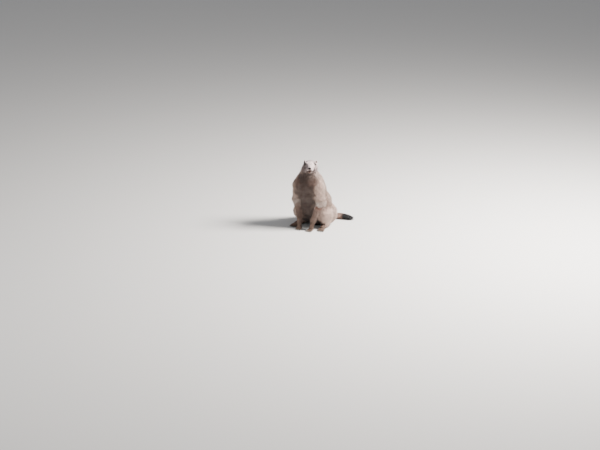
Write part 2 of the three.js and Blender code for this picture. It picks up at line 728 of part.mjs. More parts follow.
const muzzle = wasm.Manifold.difference([wasm.Manifold.union([muzzleFlesh, lipLine]), mouthGroove, parting]);
const inBody = (plane) => ({ point: moved(toHead, plane.point), normal: turned(toHead, plane.normal) });
addPiece("muzzle", "face", above(muzzle, muzzleCut), headGroup);
addPiece("nose_pad", "nose", noseSolid, headGroup);

// Ears: a round cup, open forward and out, on a short base
const EAR = {
  place: [35, 42, 2],
  radii: [5.2, 9.8, 11.6],
  hollow: [4.8, 7.2, 8.8],
  turn: [-0.2, -0.1, -0.5],
};
function ear(side) {
  const [x, y, z] = EAR.turn;
  const frame = new THREE.Matrix4().makeRotationFromEuler(new THREE.Euler(x, side * y, side * z));
  frame.setPosition(...mirrored(EAR.place, side));
  const shape = (radii, shift) =>
    solidOfGeometry(
      new THREE.SphereGeometry(1, 12, 9)
        .scale(...radii)
        .translate(side * shift, 0, 0)
        .applyMatrix4(frame),
    );
  return wasm.Manifold.difference([shape(EAR.radii, 0), shape(EAR.hollow, 4), grownHead]);
}

const eyeHoles = [1, -1].map((side) => sphere(EYE_RADIUS + GAP, 16, 12, eyePlace(side)));
const openings = [1, -1].map(eyeOpening);
const head = wasm.Manifold.difference([skullFlesh, ...eyeHoles, ...openings, mouthGroove]);
addPiece("head", "face", above(below(head, muzzleCut), inBody(headCut)), headGroup);
for (const side of [1, -1]) {
  const label = side > 0 ? "left" : "right";
  addPiece(`ear_${label}`, "coat", ear(side), headGroup);
  addPiece(`eye_${label}`, "eye", sphere(EYE_RADIUS, 14, 9, eyePlace(side)), headGroup);
}

// The long tuft of hair on the back of each elbow
const ELBOW_LOCKS = 7;
for (const side of [1, -1]) {
  const label = side > 0 ? "left" : "right";
  const elbow = mirrored(ARM.joints[1], side);
  const locks = Array.from({ length: ELBOW_LOCKS }, (_, n) => {
    const angle = THREE.MathUtils.degToRad(-40 + (150 * n) / (ELBOW_LOCKS - 1));
    const way = unit([side * Math.cos(angle), Math.sin(angle), 0.25 * (n % 2)]);
    const root = surfaceFrom(wholeField, elbow, way, 40);
    const lie = unit([0.1 * side, 0.25, -0.95]);
    return lock({ root, lie, out: way, length: 32 + 8 * chance(), width: 19, lift: 3 });
  });
  dress(`upper_arm_${label}`, locks, [`forearm_${label}`, `haunch_${label}`, "belly", "chest"]);
}

// Each piece cut off level at the floor, as a mesh of its own
group.add(headGroup);
for (const [name, { look, parent, solid }] of pieces) {
  const mesh = new THREE.Mesh(
    geometryOf(parent === group ? largest(onFloor(solid)) : largest(solid)),
    new THREE.MeshStandardMaterial({ ...looks[look], metalness: 0 }),
  );
  mesh.name = name;
  parent.add(mesh);
}

// The origin on the floor, under the middle of the whole animal's box
const box = new THREE.Box3().setFromObject(group, true);
const middle = box.getCenter(new THREE.Vector3());
group.position.set(-middle.x, -middle.y, 0);

export default group;
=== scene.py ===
"""An alpine marmot, life size, sitting up on its haunches: skin, coat, face, claws and whiskers.

The flesh is one smooth field of blended masses, written in millimetres in the animal's own frame:
it faces -Y, its left is +X and the floor is z = 0. The finished meshes are in metres, in the CAD
frame. The skin lies inside the CAD surface by the coat's depth, and the tufts fill that depth.
"""

import logging
import math
from collections.abc import Callable, Sequence
from dataclasses import dataclass, field
from enum import Enum

import bpy
import numpy as np
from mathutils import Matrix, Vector


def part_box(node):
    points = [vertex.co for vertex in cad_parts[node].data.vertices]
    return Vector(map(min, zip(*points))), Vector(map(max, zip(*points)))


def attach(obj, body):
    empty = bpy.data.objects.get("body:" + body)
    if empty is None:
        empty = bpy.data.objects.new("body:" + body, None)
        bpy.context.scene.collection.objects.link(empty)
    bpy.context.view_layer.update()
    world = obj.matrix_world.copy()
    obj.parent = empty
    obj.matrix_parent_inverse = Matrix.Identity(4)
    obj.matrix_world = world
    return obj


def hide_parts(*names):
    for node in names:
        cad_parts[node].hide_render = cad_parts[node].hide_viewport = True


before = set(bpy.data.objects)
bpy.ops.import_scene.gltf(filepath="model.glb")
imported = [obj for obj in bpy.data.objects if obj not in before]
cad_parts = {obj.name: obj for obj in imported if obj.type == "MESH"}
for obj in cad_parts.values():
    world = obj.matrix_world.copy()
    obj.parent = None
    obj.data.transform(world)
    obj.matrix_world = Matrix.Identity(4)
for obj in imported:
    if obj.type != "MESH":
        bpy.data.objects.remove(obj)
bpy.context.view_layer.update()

log = logging.getLogger("marmot")
Array = np.ndarray
Point = tuple[float, float, float]
Box = tuple[Point, Point]
Field = Callable[[Array], Array]
MM = 0.001
FLOOR_GAP = 0.3
SIDES = ((1, "left"), (-1, "right"))


# Vectors and signed distances


def unit(vectors: Array) -> Array:
    """Vectors scaled to length one.

    Args:
        vectors: an array whose last axis holds X, Y and Z.

    Returns:
        The array of unit vectors.
    """
    vectors = np.asarray(vectors, float)
    return vectors / np.maximum(np.linalg.norm(vectors, axis=-1, keepdims=True), 1e-12)


def mirrored(point: Sequence[float], side: float) -> Array:
    """A point of the animal's left side, taken to the side named (+1 left, -1 right)."""
    return np.array([point[0] * side, point[1], point[2]], float)


def folded(points: Array) -> Array:
    """Places taken over to the animal's left side: X without its sign."""
    return np.abs(points) * (1, 0, 0) + points * (0, 1, 1)


def turning(axis: int, angle: float) -> Array:
    """The rotation matrix about one axis.

    Args:
        axis: 0 for X, 1 for Y and 2 for Z.
        angle: the angle, in radians.

    Returns:
        Three rows of three.
    """
    one, two = (axis + 1) % 3, (axis + 2) % 3
    turn = np.eye(3)
    turn[one, one] = turn[two, two] = math.cos(angle)
    turn[two, one] = math.sin(angle)
    turn[one, two] = -math.sin(angle)
    return turn


def flat_on(normal: Array, ways: Array) -> Array:
    """Ways laid flat on a surface: each less its part along the normal, then scaled to length one."""
    return unit(ways - normal * (ways * normal).sum(1, keepdims=True))


def oval(points: Array, centre: Sequence[float], radii: Sequence[float] | Array) -> Array:
    """How far places are from an oval's middle, as shares of its radii: one on its rim."""
    return np.linalg.norm((points - np.array(centre)) / radii, axis=1)


def smoothstep(low: float, high: float, values: Array) -> Array:
    """Zero below low, one above high, and 3t^2 - 2t^3 between them.

    Args:
        low: where the step starts.
        high: where the step ends.
        values: the numbers to pass through it.

    Returns:
        The stepped numbers, from 0 to 1.
    """
    t = np.clip((values - low) / (high - low), 0.0, 1.0)
    return t * t * (3.0 - 2.0 * t)


def blend(a: Array, b: Array, k: Array | float) -> Array:
    """The smaller of two distances, rounded off where they differ by less than k.

    Args:
        a: distances from one mass.
        b: distances from the other mass.
        k: width of the rounding.

    Returns:
        min(a, b) - (max(k - |a - b|, 0) / k)^2 * k / 4.
    """
    h = np.maximum(k - np.abs(a - b), 0.0) / k
    return np.minimum(a, b) - h * h * k * 0.25


@dataclass(frozen=True)
class Ball:
    """An ellipsoid of flesh with its axes along the frame's."""

    centre: Point
    radii: Point

    def distance(self, points: Array) -> Array:
        """Near distance from the surface: q (q - 1) / |d / r^2|, with q = |d / r|.

        Args:
            points: places, one a row.

        Returns:
            Distances in millimetres, negative inside.
        """
        d = points - np.array(self.centre)
        r = np.array(self.radii)
        near = np.linalg.norm(d / r, axis=1)
        slope = np.linalg.norm(d / (r * r), axis=1)
        return np.where(slope < 1e-9, -r.min(), near * (near - 1.0) / np.maximum(slope, 1e-9))


@dataclass(frozen=True)
class Taper:
    """A length of flesh, round in section, between two balls of different radii."""

    start: Point
    end: Point
    start_radius: float
    end_radius: float

    def distance(self, points: Array) -> Array:
        """Exact distance from the round cone: to either ball, or to the slanted side between them.

        Args:
            points: places, one a row.

        Returns:
            Distances in millimetres, negative inside.
        """
        a = np.array(self.start, float)
        along = np.array(self.end, float) - a
        length2 = float(along @ along)
        taper = self.start_radius - self.end_radius
        slant2 = length2 - taper * taper
        d = points - a
        y = d @ along
        z = y - length2
        x2 = ((d * length2 - y[:, None] * along) ** 2).sum(1)
        y2 = y * y * length2
        z2 = z * z * length2
        k = np.sign(taper) * taper * taper * x2
        side = (np.sqrt(x2 * slant2 / length2) + y * taper) / length2 - self.start_radius
        past_end = np.sqrt(x2 + z2) / length2 - self.end_radius
        before_start = np.sqrt(x2 + y2) / length2 - self.start_radius
        side = np.where(np.sign(y) * slant2 * y2 < k, before_start, side)
        return np.where(np.sign(z) * slant2 * z2 > k, past_end, side)


Shape = Ball | Taper


def joined(shapes: Sequence[Shape], k: float) -> Field:
    """The field of several masses blended together.

    Args:
        shapes: the masses.
        k: width of the rounding between them.

    Returns:
        A function from points to distances.
    """

    def distance(points: Array) -> Array:
        """Distances from the blended masses.

        Args:
            points: places, one a row.

        Returns:
            Distances in millimetres, negative inside.
        """
        total = np.full(len(points), 1e3)
        for shape in shapes:
            total = blend(total, shape.distance(points), k)
        return total

    return distance


def chain(joints: Sequence[Point], radii: Sequence[float], side: float = 1.0) -> list[Taper]:
    """A limb as tapers from joint to joint.

    Args:
        joints: the left limb's joints, from the root down.
        radii: a radius for each joint.
        side: +1 for the left limb, -1 for its mirror image.

    Returns:
        One taper for each stretch.
    """
    places = [tuple(mirrored(j, side)) for j in joints]
    pairs = zip(places, places[1:], radii, radii[1:], strict=False)
    return [Taper(a, b, ra, rb) for a, b, ra, rb in pairs]


def gradient(distance: Field, points: Array, step: float = 0.4) -> Array:
    """Unit slope of a field by central differences.

    Args:
        distance: the field.
        points: places, one a row.
        step: half the span of each difference.

    Returns:
        Unit vectors pointing out of the flesh.
    """
    slopes = []
    for axis in range(3):
        shift = np.zeros(3)
        shift[axis] = step
        slopes.append(distance(points + shift) - distance(points - shift))
    return unit(np.stack(slopes, 1))


def waver(points: Array, span: float, seed: int) -> Array:
    """Smooth, even chance over space: a sum of six sine waves with random directions.

    Args:
        points: places, one a row.
        span: about one wave's length.
        seed: picks the waves.

    Returns:
        Numbers about 0, mostly between -1 and 1.
    """
    rng = np.random.default_rng(seed)
    ways = unit(rng.normal(size=(6, 3))) * (2 * math.pi / span) * rng.uniform(0.6, 1.5, (6, 1))
    return np.sin(points @ ways.T + rng.uniform(0, 6.3, 6)).sum(1) / 2.6


# The animal's flesh


@dataclass(frozen=True)
class Coat:
    """How the fur grows on one mass. Lengths in millimetres, colours linear.

    The skin lies inside the flesh's outer surface by sink, and the fur rises off it by depth.
    """

    length: float
    depth: float
    width: float
    density: float
    colour: Point
    sink: float | None = None

    def inset(self) -> float:
        """How far inside the outer surface the skin lies: the fur's depth, if nothing else is set."""
        return self.depth if self.sink is None else self.sink


class Piece(Enum):
    """The joined pieces of fur, the record's slot for each, and the share of its tufts that bend."""

    MUZZLE = ("coat_muzzle", "face_fur", 0)
    FACE = ("coat_face", "face_fur", 0.33)
    NECK = ("coat_neck", "back_fur", 0.33)
    BREAST = ("coat_breast", "breast_fur", 0.33)
    BACK_LEFT = ("coat_back_left", "back_fur", 0.33)
    BACK_RIGHT = ("coat_back_right", "back_fur", 0.33)
    ARM_LEFT = ("coat_arm_left", "flank_fur", 0.33)
    ARM_RIGHT = ("coat_arm_right", "flank_fur", 0.33)
    HAUNCH_LEFT = ("coat_haunch_left", "flank_fur", 0.33)
    HAUNCH_RIGHT = ("coat_haunch_right", "flank_fur", 0.33)
    FEET = ("coat_feet", "foot_fur", 0)


PIECES = list(Piece)


@dataclass(frozen=True)
class Guide:
    """One mass as a guide for the fur over it: the way the fur lies, what it is and its piece."""

    shape: Shape
    lie: Point
    coat: Coat
    piece: Piece


# Linear colours of the coat
# BUFF: the buff fur of arms and haunches, lightened as painted light, as if sunlit.
BUFF = (0.79, 0.595, 0.51)
BACK = (0.40, 0.285, 0.23)
# BREAST: dark breast fur, darkened further as painted shade of the front, throat and mouth.
BREAST = (0.082, 0.053, 0.043)
# UMBER: the brown of the back's patches and the forearms, also used as painted shade on the forearms, chin,
# neck's sides and mouth.
UMBER = (0.22, 0.135, 0.105)
# CROWN: pale fur of the crown, brow and ears, lightened as painted light, as if sunlit.
CROWN = (0.75, 0.62, 0.61)
CHEEK = (0.26, 0.19, 0.18)
MUZZLE = (0.74, 0.61, 0.59)
# DUSK: dark fur round the eyes, deepened with painted shade of the sockets.
DUSK = (0.07, 0.05, 0.045)
FOOT = (0.33, 0.225, 0.175)
TAIL_BROWN = (0.40, 0.265, 0.215)
BLACK = (0.012, 0.011, 0.013)
# RUST_AND_SHADE: rusty fur below the elbows, deepened as painted shade of the gap between arm and thigh.
RUST_AND_SHADE = (0.20, 0.072, 0.042)
# ELBOW_HIGHLIGHT: painted highlight, the sunlit pale of the elbow tufts.
ELBOW_HIGHLIGHT = (0.9, 0.80, 0.72)

# Linear colours of the bare parts
PUPIL = (0.004, 0.003, 0.003)
IRIS = (0.024, 0.012, 0.008)
LID = (0.02, 0.015, 0.014)
NOSE = (0.011, 0.008, 0.009)
LIP = (0.028, 0.018, 0.017)
EAR_FRONT = (0.07, 0.047, 0.042)
EAR_BACK = (0.15, 0.12, 0.1)
WHISKER = (0.03, 0.022, 0.02)
CLAW_ROOT = (0.035, 0.027, 0.022)
CLAW_TIP = (0.125, 0.097, 0.077)


def between(low: Point, high: Point, share: Array) -> Array:
    """Colours, one a row, from low where the share is 0 to high where it is 1."""
    return np.array(low) + np.reshape(share, (-1, 1)) * np.subtract(high, low)


@dataclass(frozen=True)
class Head:
    """The head in its own frame: origin between the eyes, facing -Y.

    An ear's radii are its rim's, back along the head and up. Its bowls are the depths of the front
    and back hollows, and its tilt is the left ear's turns about X, Y and Z in radians.
    """

    place: Point = (27, -48, 408)
    yaw: float = 27.0
    pitch: float = 6.0
    eye: Point = (27, -2, 0)
    eye_axis: Point = (0.84, -0.48, 0.22)
    eye_radius: float = 8.0
    opening: tuple[float, float] = (6.7, 5.3)
    lid: float = 2.0
    nose: Point = (0, -46, -18.5)
    nose_radii: Point = (9, 5, 6.4)
    ear: Point = (35, 42, 2)
    ear_radii: tuple[float, float] = (9.8, 11.6)
    ear_bowls: tuple[float, float] = (2.2, 5.4)
    ear_tilt: Point = (-0.2, -0.1, -0.5)

    def turn(self) -> Array:
        """The rotation from the head's frame to the body's: yaw about Z after pitch about X."""
        return turning(2, math.radians(self.yaw)) @ turning(0, math.radians(-self.pitch))

    def to_body(self, points: Array | Point) -> Array:
        """Places from the head's frame to the body's."""
        return np.atleast_2d(points) @ self.turn().T + np.array(self.place)

    def to_head(self, points: Array) -> Array:
        """Places from the body's frame to the head's."""
        return (np.atleast_2d(points) - np.array(self.place)) @ self.turn()

    def skull(self) -> list[Shape]:
        """Skull, brow and cheeks."""
        return [
            Ball((0, 34, -11), (38, 46, 28.5)),
            Ball((0, 6, 0), (32.5, 26, 16)),
            Ball((25, 14, -25), (19.5, 30, 24)),
            Ball((-25, 14, -25), (19.5, 30, 24)),
        ]

    def muzzle(self) -> list[Shape]:
        """Bridge of the nose and the two whisker pads."""
        return [
            Taper((0, -4, -15), (0, -30, -20.5), 25, 16.5),
            Ball((9.5, -33, -26), (12, 13.5, 11)),
            Ball((-9.5, -33, -26), (12, 13.5, 11)),
        ]

    def jaw(self) -> Taper:
        """Lower jaw, from the chin back."""
        return Taper((0, -25, -40.5), (0, 16, -41), 10.5, 19)

    def eye_frame(self, side: float) -> tuple[Array, Array, Array, Array]:
        """Where an eye is and how it is turned.

        Args:
            side: +1 for the left eye, -1 for the right.

        Returns:
            Its centre, the way it looks, and the level and upright ways square to that.
        """
        axis = unit(mirrored(self.eye_axis, side))
        level = unit(np.cross([0, 0, 1], axis))
        return mirrored(self.eye, side), axis, level, np.cross(axis, level)

    def socket(self, points: Array, side: float) -> Array:
        """Distances from the oval hollow that the lids line, open to the outside.

        Args:
            points: places in the head's frame.
            side: +1 for the left eye, -1 for the right.

        Returns:
            Distances in millimetres, negative in the hollow.
        """
        centre, axis, level, up = self.eye_frame(side)
        d = points - centre
        rim = (np.hypot(d @ level / self.opening[0], d @ up / self.opening[1]) - 1.1) * self.opening[1]
        return np.maximum(rim, 2 - d @ axis)

    def distance(self, points: Array) -> Array:
        """Distances from the head's flesh.

        Args:
            points: places in the head's frame.

        Returns:
            Distances in millimetres, negative inside.
        """
        lids = [Ball(tuple(mirrored(self.eye, s)), (self.eye_radius + self.lid,) * 3) for s in (1, -1)]
        skull = joined(self.skull(), 11)(points)
        skull = blend(skull, np.minimum(*(lid.distance(points) for lid in lids)), 7)
        upper = blend(skull, joined(self.muzzle(), 5)(points), 10)
        k = 2.5 + 0.3 * np.maximum(points[:, 1] + 18, 0)
        return blend(upper, self.jaw().distance(points), k)


@dataclass(frozen=True)
class Toes:
    """One row of toes: the middle toe's knuckle and tip, and how the row spreads."""

    knuckle: Point
    tip: Point
    spread: tuple[float, float]
    radii: tuple[float, float]
    count: int
    claw: float

    def rows(self, side: float) -> list[tuple[Array, Array, Array]]:
        """Each toe's base, bend and end.

        Args:
            side: +1 for the left foot, -1 for the right.

        Returns:
            Three places for each toe, from the inside out.
        """
        out = []
        for n in range(self.count):
            off = n - (self.count - 1) / 2
            back = abs(off) * 2.6
            base = mirrored(np.add(self.knuckle, (off * self.spread[0], back * 0.6, 0)), side)
            end = mirrored(np.add(self.tip, (off * self.spread[1], back, 0)), side)
            bend = base + 0.55 * (end - base) + np.array([0, 0, 2])
            out.append((base, bend, end))
        return out

    def shapes(self, side: float) -> list[Taper]:
        """The toes as tapers, two to a toe.

        Args:
            side: +1 for the left foot, -1 for the right.

        Returns:
            The tapers from base to bend and from bend to end.
        """
        first, last = self.radii
        middle = (first + last) / 2
        out = []
        for base, bend, end in self.rows(side):
            out.append(Taper(tuple(base), tuple(bend), first, middle))
            out.append(Taper(tuple(bend), tuple(end), middle, last))
        return out


@dataclass(frozen=True)
class Marmot:
    """The animal's flesh, its sizes as in the solids, and the guides for its fur."""

    head: Head = field(default_factory=Head)
    trunk: tuple[Ball, ...] = (
        Ball((0, 92, 76), (94, 82, 80)),
        Ball((0, 58, 146), (103, 94, 96)),
        Ball((0, 21, 232), (88, 84, 86)),
        Ball((-2, -8, 288), (80, 62, 54)),
    )
    neck: Taper = Taper((-5, 4, 292), (1, -17, 352), 69, 49)
    arm_joints: tuple[Point, ...] = ((60, -23, 262), (83, -13, 178), (47, -42, 66), (40, -57, 12))
    arm_radii: tuple[float, ...] = (40, 26, 14.5, 12.5)
    thigh_joints: tuple[Point, ...] = ((55, 100, 72), (81, 33, 84), (82, 48, 30))
    thigh_radii: tuple[float, ...] = (65, 40, 27)
    foot_joints: tuple[Point, ...] = ((82, 42, 15), (90, -10, 12))
    foot_radii: tuple[float, ...] = (16, 14)
    fore_toes: Toes = Toes((40, -60, 10), (37, -81, 4), (6.6, 9), (6.2, 4.4), 4, 13)
    hind_toes: Toes = Toes((90, -16, 9), (94, -42, 4.2), (6.4, 8.6), (6.6, 4.6), 5, 11)
    tail_joints: tuple[Point, ...] = (
        (0, 146, 50),
        (6, 182, 32),
        (24, 208, 23),
        (52, 226, 20.5),
        (82, 236, 20),
        (108, 242, 18),
        (126, 245, 16),
    )
    tail_radii: tuple[float, ...] = (27, 18, 12.5, 11.5, 11, 9, 5)

    def shift(self) -> Array:
        """Where the animal's origin lies in the CAD frame, read from the left eye's place there.

        Returns:
            The place in millimetres.
        """
        low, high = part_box("eye_left")
        eye = (np.array(low) + np.array(high)) / 2 / MM
        return eye - self.head.to_body(np.array(self.head.eye))[0]

    def distance(self, points: Array) -> Array:
        """Distances from the whole animal's outer surface.

        Args:
            points: places in the body's frame, one a row.

        Returns:
            Distances in millimetres, negative inside.
        """
        total = blend(joined(self.trunk, 30)(points), self.neck.distance(points), 34)
        total = blend(total, self.head.distance(self.head.to_head(points)), 22)
        total = blend(total, joined(chain(self.tail_joints, self.tail_radii), 8)(points), 14)
        k = 5 + 17 * smoothstep(110, 220, points[:, 2])
        for side in (1, -1):
            total = blend(total, joined(chain(self.thigh_joints, self.thigh_radii, side), 20)(points), 30)
            total = blend(total, joined(chain(self.foot_joints, self.foot_radii, side), 6)(points), 6)
            total = blend(total, joined(chain(self.arm_joints, self.arm_radii, side), 12)(points), k)
        low = points[:, 2] < 40
        if low.any():
            toes = [s for side in (1, -1) for t in (self.fore_toes, self.hind_toes) for s in t.shapes(side)]
            near = np.minimum.reduce([toe.distance(points[low]) for toe in toes])
            total[low] = blend(total[low], near, 1.6)
        return total

    def leaving(self, origin: Array, way: Array, inset: float) -> Array:
        """Where lines from inside the head leave its flesh, found by halving.

        Args:
            origin: the lines' starts, in the head's frame.
            way: their unit ways.
            inset: how far inside the outer surface to stop.

        Returns:
            Places in the head's frame.
        """
        near, far = np.zeros(len(origin)), np.full(len(origin), 60.0)
        for _ in range(24):
            middle = (near + far) / 2
            inside = self.distance(self.head.to_body(origin + way * middle[:, None])) < -inset
            near, far = np.where(inside, middle, near), np.where(inside, far, middle)
        return origin + way * near[:, None]

    def mouth_line(self, inset: float) -> Array:
        """The line of the mouth, from one corner under the nose to the other.

        At t from -1 to 1 the line is reached at 76 t degrees from straight ahead, and it rises by
        3 t^2 to the corners and by 4.2 e^(-(t / 0.22)^2) to the parting below the nose.

        Args:
            inset: its depth inside the outer surface.

        Returns:
            Places in the head's frame.
        """
        t = np.linspace(-1, 1, 61)
        a = np.radians(76 * t)
        rise = 3 * t * t + 4.2 * np.exp(-((t / 0.22) ** 2))
        origin = np.array([0, -14, -36.5]) + np.stack([0 * t, 0 * t, rise], 1)
        return self.leaving(origin, np.stack([np.sin(a), -np.cos(a), 0 * a], 1), inset)

    def parting(self, inset: float) -> Array:
        """The upright parting from the nose down to the mouth.

        Args:
            inset: its depth inside the outer surface.

        Returns:
            Places in the head's frame.
        """
        z = np.linspace(-23, -32.5, 12)
        origin = np.stack([0 * z, 0 * z - 14, z], 1)
        return self.leaving(origin, np.tile([0.0, -1.0, 0.0], (len(z), 1)), inset)

    def guides(self) -> list[Guide]:
        """Every mass with the fur that grows on it.

        Returns:
            The guides, each with its lie as a way in the body's frame.
        """
        body = Coat(26, 10.5, 2.4, 0.6, BACK)
        # The breast's dark colour is partly painted shade.
        breast = Coat(22, 9, 2.2, 0.6, BREAST)
        out = [
            Guide(Ball((0, 105, 76), (90, 72, 80)), (0, 0.55, -0.85), body, Piece.BACK_LEFT),
            Guide(Ball((0, 66, 146), (100, 88, 96)), (0, 0.35, -0.95), body, Piece.BACK_LEFT),
            Guide(Ball((0, 30, 232), (86, 78, 86)), (0, 0.3, -0.95), body, Piece.BACK_LEFT),
            Guide(Ball((-2, 6, 292), (80, 56, 50)), (0, 0.3, -0.9), body, Piece.NECK),
            Guide(Taper((0, 0, 70), (0, -24, 262), 74, 58), (0, 0.1, -1), breast, Piece.BREAST),
            Guide(self.neck, (0, 0.35, -0.9), Coat(22, 9, 2.1, 0.66, BACK), Piece.NECK),
        ]
        out += self.head_guides()
        for side in (1, -1):
            out += self.limb_guides(side)
        bare_tail = Coat(20, 3, 2.6, 0, TAIL_BROWN, 0.6)
        for part in chain(self.tail_joints, self.tail_radii):
            way = tuple(unit(np.subtract(part.end, part.start)))
            out.append(Guide(part, way, bare_tail, Piece.BACK_LEFT))
        return out

    def head_guides(self) -> list[Guide]:
        """The guides over the head: fur runs back from the nose, and down over the cheeks.

        Returns:
            Guides for the skull, brow, cheeks, bridge, whisker pads and jaw.
        """
        turn = self.head.turn()

        def guide(shape: Shape, lie: Point, coat: Coat, piece: Piece = Piece.FACE) -> Guide:
            """A guide from a mass given in the head's frame.

            Args:
                shape: the mass.
                lie: the way its fur lies, in the head's frame.
                coat: what grows there.
                piece: the piece of fur it belongs to.

            Returns:
                The guide in the body's frame.
            """
            way = tuple(turn @ unit(np.array(lie)))
            if isinstance(shape, Ball):
                moved = Ball(tuple(self.head.to_body(np.array(shape.centre))[0]), shape.radii)
            else:
                ends = self.head.to_body(np.array([shape.start, shape.end]))
                moved = Taper(tuple(ends[0]), tuple(ends[1]), shape.start_radius, shape.end_radius)
            return Guide(moved, way, coat, piece)

        skull, brow, left, right = self.head.skull()
        bridge, pad_left, pad_right = self.head.muzzle()
        cheek = Coat(12, 4.5, 1.35, 1.4, CHEEK)
        pad = Coat(3.2, 0.8, 0.65, 3.4, MUZZLE)
        return [
            # Crown and brow: fur painted pale as painted light, as if sunlit.
            guide(skull, (0, 1, 0.05), Coat(9, 3.6, 1.25, 1.6, CROWN)),
            guide(brow, (0, 1, 0.3), Coat(5.5, 1.8, 1.0, 1.9, CROWN), Piece.MUZZLE),
            guide(left, (0.35, 0.85, -0.45), cheek),
            guide(right, (-0.35, 0.85, -0.45), cheek),
            guide(bridge, (0, 1, 0.3), Coat(3.4, 1.0, 0.7, 3.0, MUZZLE), Piece.MUZZLE),
            guide(pad_left, (0.4, 1, -0.1), pad, Piece.MUZZLE),
            guide(pad_right, (-0.4, 1, -0.1), pad, Piece.MUZZLE),
            guide(self.head.jaw(), (0, 0.9, -0.4), Coat(5.5, 1.8, 1.0, 1.7, CHEEK), Piece.MUZZLE),
        ]

    def limb_guides(self, side: float) -> list[Guide]:
        """The guides over one side's limbs.

        Args:
            side: +1 for the left, -1 for the right.

        Returns:
            Guides for the arm, paw, haunch and foot.
        """
        left = side > 0
        arm = Piece.ARM_LEFT if left else Piece.ARM_RIGHT
        haunch = Piece.HAUNCH_LEFT if left else Piece.HAUNCH_RIGHT
        upper, fore, paw = chain(self.arm_joints, self.arm_radii, side)
        hip, shin = chain(self.thigh_joints, self.thigh_radii, side)
        (foot,) = chain(self.foot_joints, self.foot_radii, side)
        down = tuple(unit(np.subtract(fore.end, fore.start)))
        short = Coat(5, 1.5, 1.1, 1.3, FOOT)
        toes = Coat(3.6, 0.8, 0.9, 1.7, FOOT)
        out = [
            # Arms and haunches in BUFF: buff fur lightened as painted light.
            Guide(upper, (0.05 * side, 0.3, -0.95), Coat(24, 8, 2.3, 0.62, BUFF), arm),
            # The forearm's umber: brown fur, partly painted shade.
            Guide(fore, down, Coat(14, 4.5, 1.7, 1.0, UMBER), arm),
            Guide(paw, (0, -0.4, -0.9), short, Piece.FEET),
            Guide(hip, (0.1 * side, 0.4, -0.9), Coat(26, 10, 2.4, 0.6, BUFF), haunch),
            Guide(shin, (0.1 * side, 0.1, -1), Coat(20, 7, 2.0, 0.7, BUFF), haunch),
            Guide(foot, (0, -1, -0.2), short, Piece.FEET),
        ]
        for row in (self.fore_toes, self.hind_toes):
            middle = tuple((mirrored(row.knuckle, side) + mirrored(row.tip, side)) / 2)
            out.append(Guide(Ball(middle, (19, 17, 9)), (0, -1, -0.2), toes, Piece.FEET))
        return out


# Fur over the skin: what grows at each place


@dataclass
class Growth:
    """What the fur is like at a set of places, one row each."""

    lie: Array
    length: Array
    depth: Array
    width: Array
    density: Array
    colour: Array
    piece: Array


